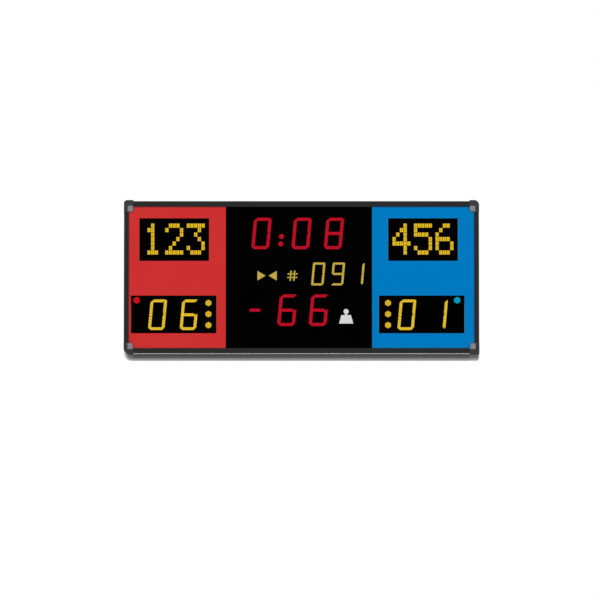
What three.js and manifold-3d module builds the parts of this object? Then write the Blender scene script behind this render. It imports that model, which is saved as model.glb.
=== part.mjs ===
// Wall-hung electronic scoreboard for combat sports, in millimetres.
// +Z is up, +X is to the right as seen from the front, and the face looks along -Y.
// The origin is the centre of the upper wall rail's rear face, which lies on the wall.
// The board itself is built about its own centre, with Y counted from the front of its rails.

import * as THREE from "three";
import { mergeVertices } from "three/addons/utils/BufferGeometryUtils.js";
import Module from "manifold-3d";

const wasm = await Module();
wasm.setup();

// Overall sizes
const boardWidth = 1652.4;
const boardHeight = 735.2;
const casingDepth = 105;
const wallGap = 30;
const fit = 0.3;
const overrun = 20;

// Frame rails
const railWall = 2.5;
const sideLip = 23.2;
const topLip = 29.1;
const lipRadius = 6.5;
const rearRadius = 3;
const flankSwell = 9.2;
const flankCrownShare = 0.72;
const ribThickness = 2;
const ribBelowLip = 3;
const arcSteps = 4;
const swellSteps = 6;

// Corner caps and their plugs
const capLegAcross = 44.2;
const capLegDown = 53.1;
const capWall = 3;
const capProudSide = 0.5;
const capProudTop = 4;
const capProudFront = 1.5;
const capRadius = 18;
const capEdgeRadius = 3;
const capSwell = 5.2;
const capCrownShare = 0.6;
const capBevelSteps = 2;
const plugWidth = 27;
const plugHeight = 30;
const plugProud = 1;
const plugInset = 16.2;
const plugCornerRadius = 7;
const tongueReach = 22;
const tongueRoot = 15;
const tongueThickness = 14;

// Front sheets
const faceThickness = 3;
const faceUnderLip = 6;

// Places and widths across the board, as shares of its width from its centre line
const widthShares = {
  redEdgeShare: 0.21315,
  blueEdgeShare: 0.19862,
  nameWindowWidthShare: 0.19656,
  redNameXShare: -0.3583,
  blueNameXShare: 0.34201,
  scoreWindowWidthShare: 0.24099,
  redScoreXShare: -0.35941,
  blueScoreXShare: 0.3379,
  timerDigitWidthShare: 0.05011,
  timerLeftXShare: -0.11256,
  timerMiddleXShare: 0.00024,
  timerRightXShare: 0.0915,
  colonUpperXShare: -0.05628,
  colonLowerXShare: -0.05852,
  matchDigitWidthShare: 0.03473,
  matchFirstXShare: 0.04721,
  matchPitchShare: 0.05537,
  weightMinusXShare: -0.13102,
  minusWidthShare: 0.0325,
  weightFirstXShare: -0.03969,
  weightPitchShare: 0.08854,
  arrowLeftXShare: -0.12406,
  arrowWidthShare: 0.023,
  arrowGapShare: 0.00847,
  signXShare: -0.02541,
  weightMarkXShare: 0.12552,
  weightMarkWidthShare: 0.03994,
  scoreDigitWidthShare: 0.04636,
  redScoreFirstXShare: -0.4048,
  blueScoreFirstXShare: 0.29612,
  scorePitchShare: 0.08896,
  redDotsXShare: -0.26162,
  blueDotsXShare: 0.24341,
  redLampXShare: -0.46351,
  blueLampXShare: 0.43778,
  characterPitchShare: 0.06052,
  columnPitchShare: 0.01034,
  pixelWidthShare: 0.00963,
  hornXShare: -0.33889706,
  inletXShare: 0.31469227,
  dataXShare: 0.26628268,
  wallRailLengthShare: 0.84725,
};

// Places, heights, strokes and radii, as shares of the board's height from its centre line
const heightShares = {
  nameWindowHeightShare: 0.27802,
  nameWindowZShare: 0.24755,
  scoreWindowHeightShare: 0.24578,
  scoreWindowZShare: -0.24021,
  timerDigitHeightShare: 0.20607,
  timerStrokeShare: 0.02041,
  timerZShare: 0.28755,
  colonUpperZShare: 0.26782,
  colonLowerZShare: 0.21967,
  colonRadiusShare: 0.01673,
  matchDigitHeightShare: 0.14908,
  matchStrokeShare: 0.01333,
  matchZShare: 0.02339,
  arrowHeightShare: 0.06257,
  signZShare: 0.01224,
  signHeightShare: 0.06665,
  signLengthShare: 0.06257,
  signSpacingShare: 0.02312,
  signStrokeShare: 0.0087,
  weightZShare: -0.21273,
  weightMarkZShare: -0.25217,
  weightMarkHeightShare: 0.09521,
  weightKnobRadiusShare: 0.01632,
  weightNeckWidthShare: 0.01497,
  scoreDigitHeightShare: 0.19967,
  scoreStrokeShare: 0.0185,
  scoreZShare: -0.24252,
  dotsZShare: -0.2379,
  dotPitchShare: 0.07209,
  dotRadiusShare: 0.02081,
  lampZShare: -0.14799,
  lampRadiusShare: 0.0223,
  lampPlateShare: 0.05713,
  charactersZShare: 0.25096,
  rowPitchShare: 0.02924,
  pixelHeightShare: 0.02761,
  moduleRailTopZShare: 0.27203,
  moduleRailMiddleZShare: 0.02312,
  moduleRailBottomZShare: -0.22851,
  chassisHeightShare: 0.35365,
  inletZShare: -0.20402764,
  dataZShare: -0.20402764,
  wallRailZShare: 0.32644,
};

// Depths inside the casing, as shares of its depth
const depthShares = {
  postDepthShare: 0.31579,
  supplyDepthShare: 0.4,
  tongueFrontShare: 0.21053,
  tongueRearShare: 0.84211,
};

// Each share gives a size, named as the share is but without its last word
function sizesFrom(shares, whole) {
  const sizes = Object.entries(shares).map(([name, share]) => [name.replace("Share", ""), share * whole]);
  return Object.fromEntries(sizes);
}

const {
  redEdge,
  blueEdge,
  nameWindowWidth,
  redNameX,
  blueNameX,
  scoreWindowWidth,
  redScoreX,
  blueScoreX,
  timerDigitWidth,
  timerLeftX,
  timerMiddleX,
  timerRightX,
  colonUpperX,
  colonLowerX,
  matchDigitWidth,
  matchFirstX,
  matchPitch,
  weightMinusX,
  minusWidth,
  weightFirstX,
  weightPitch,
  arrowLeftX,
  arrowWidth,
  arrowGap,
  signX,
  weightMarkX,
  weightMarkWidth,
  scoreDigitWidth,
  redScoreFirstX,
  blueScoreFirstX,
  scorePitch,
  redDotsX,
  blueDotsX,
  redLampX,
  blueLampX,
  characterPitch,
  columnPitch,
  pixelWidth,
  hornX,
  inletX,
  dataX,
  wallRailLength,
} = sizesFrom(widthShares, boardWidth);

const {
  nameWindowHeight,
  nameWindowZ,
  scoreWindowHeight,
  scoreWindowZ,
  timerDigitHeight,
  timerStroke,
  timerZ,
  colonUpperZ,
  colonLowerZ,
  colonRadius,
  matchDigitHeight,
  matchStroke,
  matchZ,
  arrowHeight,
  signZ,
  signHeight,
  signLength,
  signSpacing,
  signStroke,
  weightZ,
  weightMarkZ,
  weightMarkHeight,
  weightKnobRadius,
  weightNeckWidth,
  scoreDigitHeight,
  scoreStroke,
  scoreZ,
  dotsZ,
  dotPitch,
  dotRadius,
  lampZ,
  lampRadius,
  lampPlate,
  charactersZ,
  rowPitch,
  pixelHeight,
  moduleRailTopZ,
  moduleRailMiddleZ,
  moduleRailBottomZ,
  chassisHeight,
  inletZ,
  dataZ,
  wallRailZ,
} = sizesFrom(heightShares, boardHeight);

const { postDepth, supplyDepth, tongueFront, tongueRear } = sizesFrom(depthShares, casingDepth);

// Lit lenses and the boards behind them
const lensThickness = 2;
const lensProud = 0.4;
const lensMargin = 8;
const circuitThickness = 1.6;
const circuitMargin = 3;

// Seven segment digits, all with the same lean, and how far their segments stand apart
const digitLean = Math.tan(THREE.MathUtils.degToRad(5));
const segmentWebShare = 0.09;
const timerDigit = { width: timerDigitWidth, height: timerDigitHeight, stroke: timerStroke };
const scoreDigit = { width: scoreDigitWidth, height: scoreDigitHeight, stroke: scoreStroke };
const matchDigit = { width: matchDigitWidth, height: matchDigitHeight, stroke: matchStroke };
const cornerShares = { topLeft: 1, topRight: 0.5, bottomLeft: 0.8, bottomRight: 0.8 };
const thinCornerShares = { topLeft: 0.45, topRight: 0.4, bottomLeft: 0.35, bottomRight: 0.8 };
const minusCornerShare = 0.3;
const notchShares = { inward: 0.8, upward: 0.05, shoulder: 0.3 };

// Round lamps are six light diodes round a seventh
const clusterShares = { diode: 0.36, ring: 0.64 };
const diodesRound = 6;
const diodeSteps = 2;
const diodeArc = 60;

// Scale weight beside the weight digits
const weightBodyShare = 0.58;
const weightShoulderShare = 0.68;

// Dot matrix characters
const matrixRows = {
  1: ["00100", "01100", "00100", "00100", "00100", "00100", "01110"],
  2: ["01110", "10001", "00001", "00010", "00100", "01000", "11111"],
  3: ["11111", "00010", "00100", "00010", "00001", "10001", "01110"],
  4: ["00010", "00110", "01010", "10010", "11111", "00010", "00010"],
  5: ["11111", "10000", "11110", "00001", "00001", "10001", "01110"],
  6: ["00110", "01000", "10000", "11110", "10001", "10001", "01110"],
};

// Carriers behind the boards
const moduleRailThickness = 3;
const moduleRailHeight = 30;
const postWidth = 25;
const postWall = 2;
const chassisThickness = 2;
const chassisPastPost = 10;

// Power supply and controller board on the chassis plate
const supplyX = -150;
const supplyZ = 0;
const supplyWidth = 160;
const supplyHeight = 98;
const terminalWidth = 76;
const terminalHeight = 12;
const terminalDepth = 16;
const controllerX = 55;
const controllerZ = 0;
const controllerWidth = 170;
const controllerHeight = 130;
const standoffHeight = 8;
const standoffRadius = 3;
const standoffInset = 8;
const chipSize = 24;
const chipHeight = 3;
const headerWidth = 34;
const headerHeight = 8;
const headerDepth = 9;
const canRadius = 8;
const canHeight = 12;
const canSpacing = 22;

// Horn behind its slots in the rear panel
const hornZ = 0;
const hornRadius = 55;
const hornMagnetRadius = 26;
const hornThroatRadius = 38;
const hornFlange = 3;
const hornConeDepth = 24;
const hornMagnetDepth = 16;
const slotCount = 9;
const slotWidth = 4;
const slotPitch = 10;

// Rear panel and service hatch
const rearThickness = 2;
const rearUnderLip = 13;
const hatchOpeningX = -40;
const hatchOpeningWidth = 420;
const hatchOpeningHeight = 220;
const hatchOverlap = 12;
const hatchThickness = 2;
const barrelRadius = 4;
const hingePinRadius = 2;
const hingeBoreRadius = 2.4;
const knuckleShares = [0, 0.2, 0.4, 0.6, 0.8, 1];
const leafWidth = 22;
const leafThickness = 1.5;
const roundSides = 16;

// Quarter-turn latches
const latchInset = 10;
const latchSpacing = 140;
const latchShaftRadius = 5;
const latchHoleRadius = 5.4;
const latchHeadRadius = 11;
const latchHeadHeight = 4;
const latchGripWidth = 5;
const latchGripHeight = 4;
const tongueLength = 26;
const tongueWidth = 10;
const latchTongueThickness = 2.5;

// Power inlet with its socket, fuse pocket and rocker pocket
const inletWidth = 46;
const inletHeight = 80;
const inletDepth = 28;
const inletFlange = 3;
const inletFlangeThickness = 2.5;
const pocketWidth = 27;
const socketHeight = 19;
const socketDepth = 18;
const socketBelow = 22;
const pinWidth = 2;
const pinHeight = 4.5;
const pinLength = 13;
const pinSpacing = 7;
const fusePocketHeight = 10;
const fusePocketDepth = 22;
const fuseBelow = 1.5;
const fuseHeadThickness = 2.5;
const rockerPocketHeight = 19;
const rockerPocketDepth = 12;
const rockerAbove = 23;
const rockerTilt = THREE.MathUtils.degToRad(7);
const rockerHalfHeight = 8;
const rockerFace = 2.6;
const rockerValley = 1.2;
const rockerKeel = 5.5;
const rockerKeelHalf = 4;

// Data socket
const dataFlangeWidth = 31;
const dataFlangeHeight = 12.6;
const dataFlangeThickness = 1.2;
const dataShellWidth = 17;
const dataShellHeight = 8.6;
const dataShellDepth = 6;
const dataBodyDepth = 12;

// Wall rails
const wallRailHeight = 40;
const wallRailWall = 3;

// Looms inside the casing
const mainsRadius = 4;
const supplyLoomRadius = 3.5;
const loomSides = 8;
const mainsSteps = 44;
const supplyLoomSteps = 22;
const loomStandoff = 16;
const loomLow = 42;
const loomRun = 56;
const ribbonWidth = 30;
const ribbonThickness = 1.5;
const ribbonBend = 8;
const ribbonAbove = 14;

// Places worked out from the sizes above
const halfWidth = boardWidth / 2;
const halfHeight = boardHeight / 2;
const faceHalfWidth = halfWidth - sideLip;
const faceHalfHeight = halfHeight - topLip;
const faceFront = railWall + fit;
const faceRear = faceFront + faceThickness;
const lensFront = faceRear + fit;
const lensRear = lensFront + lensThickness;
const circuitFront = lensRear + fit;
const circuitRear = circuitFront + circuitThickness;
const moduleRailFront = circuitRear + fit;
const moduleRailRear = moduleRailFront + moduleRailThickness;
const postFront = moduleRailRear + fit;
const postRear = postFront + postDepth;
const chassisFront = postRear + fit;
const chassisRear = chassisFront + chassisThickness;
const rearPanelRear = casingDepth - railWall - fit;
const rearPanelFront = rearPanelRear - rearThickness;
const outsideRear = rearPanelRear + fit;
const wallY = casingDepth + wallGap;
const capEndX = halfWidth - capLegAcross;
const capEndZ = halfHeight - capLegDown;

// Colour, roughness and metalness of each finish
const finishes = {
  rail: [0x2b2b2e, 0.42, 0.55],
  cap: [0x3f3f42, 0.5, 0],
  plug: [0x85888d, 0.45, 0.2],
  redSheet: [0xcb3232, 0.35, 0],
  blackSheet: [0x050506, 0.3, 0],
  blueSheet: [0x0079c0, 0.35, 0],
  windowTint: [0x020203, 0.25, 0],
  redLight: [0xdf162a, 0.4, 0],
  yellowLight: [0xf0cb2d, 0.4, 0],
  cyanLight: [0x21a0c4, 0.4, 0],
  whiteLight: [0xefefef, 0.4, 0],
  circuit: [0x12402a, 0.55, 0],
  darkCircuit: [0x14161a, 0.55, 0],
  aluminium: [0xa8abb0, 0.4, 0.9],
  zincSteel: [0x9a9ca0, 0.45, 0.85],
  darkSteel: [0x36383b, 0.5, 0.4],
  blackPlastic: [0x17181a, 0.5, 0],
  redPlastic: [0xb3241f, 0.45, 0],
  greyPlastic: [0x54575c, 0.55, 0],
  cableJacket: [0x1b1c1e, 0.6, 0],
  ribbonJacket: [0x8d9096, 0.65, 0],
};

const scoreboard = new THREE.Group();
const board = new THREE.Group();
board.position.set(0, -wallY, -wallRailZ);
scoreboard.add(board);

// Outlines, as lists of points [a, b] in the plane that the shape is drawn in

function rectangle(centreA, centreB, width, height) {
  const left = centreA - width / 2;
  const right = centreA + width / 2;
  const low = centreB - height / 2;
  const high = centreB + height / 2;
  return [
    [left, low],
    [right, low],
    [right, high],
    [left, high],
  ];
}

function span(lowA, highA, lowB, highB) {
  return [
    [lowA, lowB],
    [highA, lowB],
    [highA, highB],
    [lowA, highB],
  ];
}

function arc(centreA, centreB, radius, fromDegrees, toDegrees, steps) {
  const points = [];
  for (let step = 0; step <= steps; step += 1) {
    const turn = THREE.MathUtils.degToRad(fromDegrees + ((toDegrees - fromDegrees) * step) / steps);
    points.push([centreA + radius * Math.cos(turn), centreB + radius * Math.sin(turn)]);
  }
  return points;
}

function disc(centreA, centreB, radius, sides = roundSides) {
  return arc(centreA, centreB, radius, 0, 360, sides).slice(0, sides);
}

// The outline drawn in by a distance: each edge moves in, and neighbours meet again
function drawnIn(points, distance) {
  const flat = points.map(([a, b]) => new THREE.Vector2(a, b));
  const side = THREE.ShapeUtils.isClockWise(flat) ? -1 : 1;
  return flat.map((corner, i) => {
    const before = flat[(i + flat.length - 1) % flat.length];
    const after = flat[(i + 1) % flat.length];
    const arriving = corner.clone().sub(before).normalize();
    const leaving = after.clone().sub(corner).normalize();
    const normal = new THREE.Vector2(-arriving.y - leaving.y, arriving.x + leaving.x);
    const half = normal.length() / 2;
    normal.normalize().multiplyScalar((side * distance) / half);
    return [corner.x + normal.x, corner.y + normal.y];
  });
}

function shapeOf(outline, holes = []) {
  const shape = new THREE.Shape(outline.map(([a, b]) => new THREE.Vector2(a, b)));
  shape.holes = holes.map((hole) => new THREE.Path(hole.map(([a, b]) => new THREE.Vector2(a, b))));
  return shape;
}

// Prisms along each axis

function alongX(outlineYZ, fromX, toX, holes) {
  const geometry = new THREE.ExtrudeGeometry(shapeOf(outlineYZ, holes), {
    depth: toX - fromX,
    bevelEnabled: false,
  });
  const turn = new THREE.Matrix4().makeBasis(
    new THREE.Vector3(0, 1, 0),
    new THREE.Vector3(0, 0, 1),
    new THREE.Vector3(1, 0, 0),
  );
  return geometry.applyMatrix4(turn).translate(fromX, 0, 0);
}

function alongY(outlineXZ, fromY, toY, holes, options = {}) {
  const geometry = new THREE.ExtrudeGeometry(shapeOf(outlineXZ, holes), {
    depth: toY - fromY,
    bevelEnabled: false,
    ...options,
  });
  const turn = new THREE.Matrix4().makeBasis(
    new THREE.Vector3(1, 0, 0),
    new THREE.Vector3(0, 0, 1),
    new THREE.Vector3(0, -1, 0),
  );
  return geometry.applyMatrix4(turn).translate(0, toY, 0);
}

function alongZ(outlineXY, fromZ, toZ, holes) {
  const geometry = new THREE.ExtrudeGeometry(shapeOf(outlineXY, holes), {
    depth: toZ - fromZ,
    bevelEnabled: false,
  });
  return geometry.translate(0, 0, fromZ);
}

function block(lowX, highX, lowY, highY, lowZ, highZ) {
  return alongY(span(lowX, highX, lowZ, highZ), lowY, highY);
}

// Booleans

function solidOf(geometry) {
  const bare = geometry.clone();
  bare.deleteAttribute("normal");
  bare.deleteAttribute("uv");
  const merged = mergeVertices(bare);
  return new wasm.Manifold(
    new wasm.Mesh({
      numProp: 3,
      vertProperties: merged.attributes.position.array,
      triVerts: new Uint32Array(merged.index.array),
    }),
  );
}

function geometryOf(solid) {
  const mesh = solid.getMesh();
  const geometry = new THREE.BufferGeometry();
  geometry.setAttribute("position", new THREE.BufferAttribute(mesh.vertProperties, 3));
  geometry.setIndex(new THREE.BufferAttribute(mesh.triVerts, 1));
  const loose = geometry.toNonIndexed();
  loose.computeVertexNormals();
  return loose;
}

function joined(geometries) {
  return geometries.map(solidOf).reduce((whole, next) => whole.add(next));
}

function cut(solid, tools) {
  return tools.map(solidOf).reduce((rest, tool) => rest.subtract(tool), solid);
}

// A flat sheet with openings right through it
function sheet(outline, fromY, toY, openings) {
  const tools = openings.map((opening) => alongY(opening, fromY - overrun, toY + overrun));
  return cut(solidOf(alongY(outline, fromY, toY)), tools);
}

function add(name, shape, finish) {
  const [color, roughness, metalness] = finishes[finish];
  const geometry = shape.isBufferGeometry ? shape : geometryOf(shape);
  const material = new THREE.MeshStandardMaterial({ color, roughness, metalness });
  const mesh = new THREE.Mesh(geometry, material);
  mesh.name = name;
  board.add(mesh);
}

// Frame rails

// How far a flank stands out at a depth: it swells to its crown and falls back towards the rear
function swellAt(y, amount, crownShare) {
  const share = THREE.MathUtils.clamp((y - lipRadius) / (casingDepth - rearRadius - lipRadius), 0, 1);
  return amount * (1 - ((share - crownShare) / crownShare) ** 2);
}

// The inside of a rail's wall at a depth
function innerWall(half, y, swell) {
  return half - railWall + swellAt(y, swell, flankCrownShare);
}

function swellDepths() {
  const depths = [];
  for (let step = 0; step <= swellSteps; step += 1) {
    depths.push(lipRadius + ((casingDepth - rearRadius - lipRadius) * step) / swellSteps);
  }
  return depths;
}

// A rail's section as points [depth, distance from the board's centre line]
function railSection(half, lip, swell) {
  const edge = half - lip;
  const ribTip = edge + ribBelowLip;
  const ribFront = faceRear + fit;
  const ribRear = ribFront + ribThickness;
  const flank = swellDepths();
  const rearEdge = half + swellAt(casingDepth, swell, flankCrownShare) - rearRadius;
  const outside = flank.map((y) => [y, half + swellAt(y, swell, flankCrownShare)]);
  const inside = flank.slice(1, -1).map((y) => [y, innerWall(half, y, swell)]);
  return [
    [0, edge],
    ...arc(lipRadius, half - lipRadius, lipRadius, 180, 90, arcSteps).slice(0, -1),
    ...outside,
    ...arc(casingDepth - rearRadius, rearEdge, rearRadius, 90, 0, arcSteps).slice(1),
    [casingDepth, edge],
    [casingDepth - railWall, edge],
    [casingDepth - railWall, innerWall(half, casingDepth, swell)],
    ...inside.reverse(),
    [ribRear, innerWall(half, ribRear, swell)],
    [ribRear, ribTip],
    [ribFront, ribTip],
    [ribFront, half - railWall],
    [railWall, half - railWall],
    [railWall, edge],
  ];
}

function buildRails() {
  const endX = capEndX - fit;
  const endZ = capEndZ - fit;
  const upper = railSection(halfHeight, topLip, flankSwell);
  const right = railSection(halfWidth, sideLip, 0).map(([depth, x]) => [x, depth]);
  add("top_rail", alongX(upper, -endX, endX), "rail");
  add("bottom_rail", alongX(upper.map(([depth, z]) => [depth, -z]), -endX, endX), "rail");
  add("right_rail", alongZ(right, -endZ, endZ), "rail");
  add("left_rail", alongZ(right.map(([x, depth]) => [-x, depth]), -endZ, endZ), "rail");
}

// Corner caps

// The outer part of a cap swells towards its crown like the flanks of the rails beside it
function swollen(geometry, half, radius) {
  const places = geometry.attributes.position;
  for (let i = 0; i < places.count; i += 1) {
    const z = places.getZ(i);
    const share = THREE.MathUtils.clamp((Math.abs(z) - half + radius) / radius, 0, 1);
    const swell = swellAt(places.getY(i), capSwell, capCrownShare);
    places.setZ(i, z + Math.sign(z) * share * swell);
  }
  return geometry;
}

function capOutline(sideX, sideZ, half, high, radius) {
  const lowX = capEndX - overrun;
  const lowZ = capEndZ - overrun;
  return [
    [lowX, lowZ],
    [half, lowZ],
    ...arc(half - radius, high - radius, radius, 0, 90, arcSteps),
    [lowX, high],
  ].map(([x, z]) => [sideX * x, sideZ * z]);
}

function mirroredBlock(sideX, sideZ, lowX, highX, lowY, highY, lowZ, highZ) {
  const outline = span(lowX, highX, lowZ, highZ).map(([x, z]) => [sideX * x, sideZ * z]);
  return alongY(outline, lowY, highY);
}

function cornerCap(sideX, sideZ) {
  const half = halfWidth + capProudSide;
  const high = halfHeight + capProudTop;
  const front = -capProudFront;
  const rear = casingDepth + capProudFront;
  const bevel = {
    bevelEnabled: true,
    bevelThickness: capEdgeRadius,
    bevelSize: capEdgeRadius,
    bevelOffset: -capEdgeRadius,
    bevelSegments: capBevelSteps,
    steps: swellSteps,
  };
  const outer = alongY(
    capOutline(sideX, sideZ, half, high, capRadius),
    front + capEdgeRadius,
    rear - capEdgeRadius,
    [],
    bevel,
  );
  const hollow = alongY(
    capOutline(sideX, sideZ, half - capWall, high - capWall, capRadius - capWall),
    railWall,
    casingDepth - railWall,
    [],
    { steps: swellSteps },
  );
  const shell = solidOf(swollen(outer, high, capRadius)).subtract(
    solidOf(swollen(hollow, high - capWall, capRadius - capWall)),
  );
  const keepX = halfWidth + overrun;
  const keepZ = halfHeight + overrun;
  const pastFront = front - overrun;
  const pastRear = rear + overrun;
  const kept = shell.intersect(
    solidOf(mirroredBlock(sideX, sideZ, capEndX, keepX, pastFront, pastRear, capEndZ, keepZ)),
  );
  const plugEdgeX = halfWidth - plugInset + fit;
  const plugEdgeZ = capEndZ + plugHeight + 2 * fit;
  const lowX = capEndX - overrun;
  const lowZ = capEndZ - overrun;
  const opened = cut(kept, [
    mirroredBlock(sideX, sideZ, lowX, faceHalfWidth, pastFront, pastRear, lowZ, faceHalfHeight),
    mirroredBlock(sideX, sideZ, lowX, plugEdgeX, pastFront, railWall + fit, lowZ, plugEdgeZ),
  ]);
  const topOfTongue = innerWall(halfHeight, tongueFront, flankSwell) - fit;
  const sideOfTongue = halfWidth - railWall - fit;
  const upperLow = topOfTongue - tongueThickness;
  const sideLow = sideOfTongue - tongueThickness;
  const tongues = [
    [capEndX - tongueReach, capEndX + tongueRoot, upperLow, topOfTongue],
    [capEndX + fit, capEndX + tongueRoot, upperLow, high],
    [sideLow, sideOfTongue, capEndZ - tongueReach, capEndZ + tongueRoot],
    [sideLow, half - capWall / 2, capEndZ + fit, capEndZ + tongueRoot],
  ];
  return tongues
    .map(([x0, x1, z0, z1]) => solidOf(mirroredBlock(sideX, sideZ, x0, x1, tongueFront, tongueRear, z0, z1)))
    .reduce((whole, tongue) => whole.add(tongue), opened);
}

// A plug is square with one round corner, which points at the cap's corner
function cornerPlug(sideX, sideZ) {
  const right = halfWidth - plugInset;
  const left = right - plugWidth;
  const low = capEndZ + fit;
  const high = low + plugHeight;
  const outline = [
    [left, low],
    [right, low],
    ...arc(right - plugCornerRadius, high - plugCornerRadius, plugCornerRadius, 0, 90, arcSteps),
    [left, high],
  ].map(([x, z]) => [sideX * x, sideZ * z]);
  return alongY(outline, -capProudFront - plugProud, railWall);
}

function buildCorners() {
  for (const [sideName, sideX] of [["left", -1], ["right", 1]]) {
    for (const [levelName, sideZ] of [["top", 1], ["bottom", -1]]) {
      add(`corner_cap_${levelName}_${sideName}`, cornerCap(sideX, sideZ), "cap");
      add(`corner_plug_${levelName}_${sideName}`, cornerPlug(sideX, sideZ), "plug");
    }
  }
}

// Lit figures

// The seven segments of an upright digit whose lower left corner is at the origin
function segmentOutlines(digit, shares) {
  const { width, height, stroke } = digit;
  const middle = height / 2;
  const innerRight = width - stroke;
  const innerTop = height - stroke;
  const upperInner = middle + stroke / 2;
  const lowerInner = middle - stroke / 2;
  const topLeft = stroke * shares.topLeft;
  const topRight = stroke * shares.topRight;
  const bottomLeft = stroke * shares.bottomLeft;
  const bottomRight = stroke * shares.bottomRight;
  const notch = [width - stroke * notchShares.inward, middle + stroke * notchShares.upward];
  const shoulder = middle + stroke * notchShares.shoulder;
  const web = stroke * segmentWebShare;
  return {
    a: [
      [topLeft + web, height],
      [width - topRight - web, height],
      [width - topRight / 2 - web, height - topRight / 2],
      [innerRight - web, innerTop],
      [stroke + web, innerTop],
      [topLeft / 2 + web, height - topLeft / 2],
    ],
    b: [
      [width, height - topRight],
      [width, shoulder + web],
      [notch[0], notch[1] + web],
      [innerRight, upperInner + web],
      [innerRight, innerTop],
      [width - topRight / 2, height - topRight / 2],
    ],
    c: [
      [width, shoulder],
      [width, bottomRight + web],
      [width - bottomRight / 2, bottomRight / 2 + web],
      [innerRight, stroke + web],
      [innerRight, lowerInner],
      notch,
    ],
    d: [
      [bottomLeft + web, 0],
      [width - bottomRight, 0],
      [width - bottomRight / 2, bottomRight / 2],
      [innerRight, stroke],
      [stroke + web, stroke],
      [bottomLeft / 2 + web, bottomLeft / 2],
    ],
    e: [
      [0, bottomLeft],
      [0, middle - web],
      [stroke, lowerInner - web],
      [stroke, stroke],
      [bottomLeft / 2, bottomLeft / 2],
    ],
    f: [
      [0, middle + web],
      [stroke, upperInner + web],
      [stroke, innerTop],
      [topLeft / 2, height - topLeft / 2],
      [0, height - topLeft],
    ],
    g: [
      [2 * web, middle],
      [stroke, lowerInner],
      [innerRight - web, lowerInner],
      [notch[0] - web, notch[1]],
      [innerRight - 2 * web, upperInner],
      [stroke, upperInner],
    ],
  };
}

// The outline round a cluster of light diodes: a hexagon with round corners, one of them on top
function cluster(centreX, centreZ, radius) {
  const diode = radius * clusterShares.diode;
  const ring = radius * clusterShares.ring;
  const points = [];
  for (let i = 0; i < diodesRound; i += 1) {
    const angle = 90 + i * diodeArc;
    const turn = THREE.MathUtils.degToRad(angle);
    const x = centreX + ring * Math.cos(turn);
    const z = centreZ + ring * Math.sin(turn);
    points.push(...arc(x, z, diode, angle - diodeArc / 2, angle + diodeArc / 2, diodeSteps));
  }
  return points;
}

const litSegments = { 0: "abcdef", 1: "bc", 6: "acdefg", 8: "abcdefg", 9: "abcdfg" };

function leaning([x, z], centreX, centreZ) {
  return [centreX + x + z * digitLean, centreZ + z];
}

function figure(symbol, digit, shares, centreX, centreZ) {
  const outlines = segmentOutlines(digit, shares);
  return [...litSegments[symbol]].map((letter) =>
    outlines[letter].map(([x, z]) =>
      leaning([x - digit.width / 2, z - digit.height / 2], centreX, centreZ),
    ),
  );
}

function timerFigures() {
  const places = [timerLeftX, timerMiddleX, timerRightX];
  return [
    ...["0", "0", "8"].flatMap((symbol, i) =>
      figure(symbol, timerDigit, cornerShares, places[i], timerZ),
    ),
    cluster(colonUpperX, colonUpperZ, colonRadius),
    cluster(colonLowerX, colonLowerZ, colonRadius),
  ];
}

// The minus is one bar with its corners cut off
function minus() {
  const end = minusWidth / 2;
  const half = timerStroke / 2;
  const corner = timerStroke * minusCornerShare;
  return [
    [-end, corner - half],
    [corner - end, -half],
    [end - corner, -half],
    [end, corner - half],
    [end, half - corner],
    [end - corner, half],
    [corner - end, half],
    [-end, half - corner],
  ].map((point) => leaning(point, weightMinusX, weightZ));
}

function weightFigures() {
  return [
    minus(),
    ...["6", "6"].flatMap((symbol, i) =>
      figure(symbol, timerDigit, cornerShares, weightFirstX + i * weightPitch, weightZ),
    ),
  ];
}

// The number sign's cross strokes stop short of its upright strokes, so the sheet stays in one piece
function numberSign() {
  const high = signHeight / 2;
  const half = signStroke / 2;
  const offset = signSpacing / 2;
  const web = signSpacing * segmentWebShare;
  const inner = offset - half - web;
  const outer = offset + half + web;
  const end = signLength / 2;
  const strokes = [-offset, offset].map((x) => span(x - half, x + half, -high, high));
  for (const z of [-offset, offset]) {
    strokes.push(span(-inner, inner, z - half, z + half));
    strokes.push(span(outer, end, z - half, z + half));
    strokes.push(span(-end, -outer, z - half, z + half));
  }
  return strokes.map((stroke) => stroke.map((point) => leaning(point, signX, signZ)));
}

function arrows() {
  const low = signZ - arrowHeight / 2;
  const high = signZ + arrowHeight / 2;
  const leftTip = arrowLeftX + arrowWidth;
  const rightTip = leftTip + arrowGap;
  const rightEnd = rightTip + arrowWidth;
  return [
    [
      [arrowLeftX, low],
      [leftTip, signZ],
      [arrowLeftX, high],
    ],
    [
      [rightEnd, low],
      [rightEnd, high],
      [rightTip, signZ],
    ],
  ];
}

function matchFigures() {
  return [
    ...["0", "9", "1"].flatMap((symbol, i) =>
      figure(symbol, matchDigit, thinCornerShares, matchFirstX + i * matchPitch, matchZ),
    ),
    ...numberSign(),
    ...arrows(),
  ];
}

// A scale weight seen from the front: tapered body, neck and round knob
function weightMark() {
  const low = weightMarkZ - weightMarkHeight / 2;
  const shoulder = low + weightMarkHeight * weightBodyShare;
  const knobZ = low + weightMarkHeight - weightKnobRadius;
  const base = weightMarkWidth / 2;
  const top = base * weightShoulderShare;
  const neck = weightNeckWidth / 2;
  const dip = THREE.MathUtils.radToDeg(Math.acos(neck / weightKnobRadius));
  return [
    [
      [weightMarkX - base, low],
      [weightMarkX + base, low],
      [weightMarkX + top, shoulder],
      [weightMarkX + neck, shoulder],
      ...arc(weightMarkX, knobZ, weightKnobRadius, -dip, 180 + dip, roundSides),
      [weightMarkX - neck, shoulder],
      [weightMarkX - top, shoulder],
    ],
  ];
}

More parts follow.
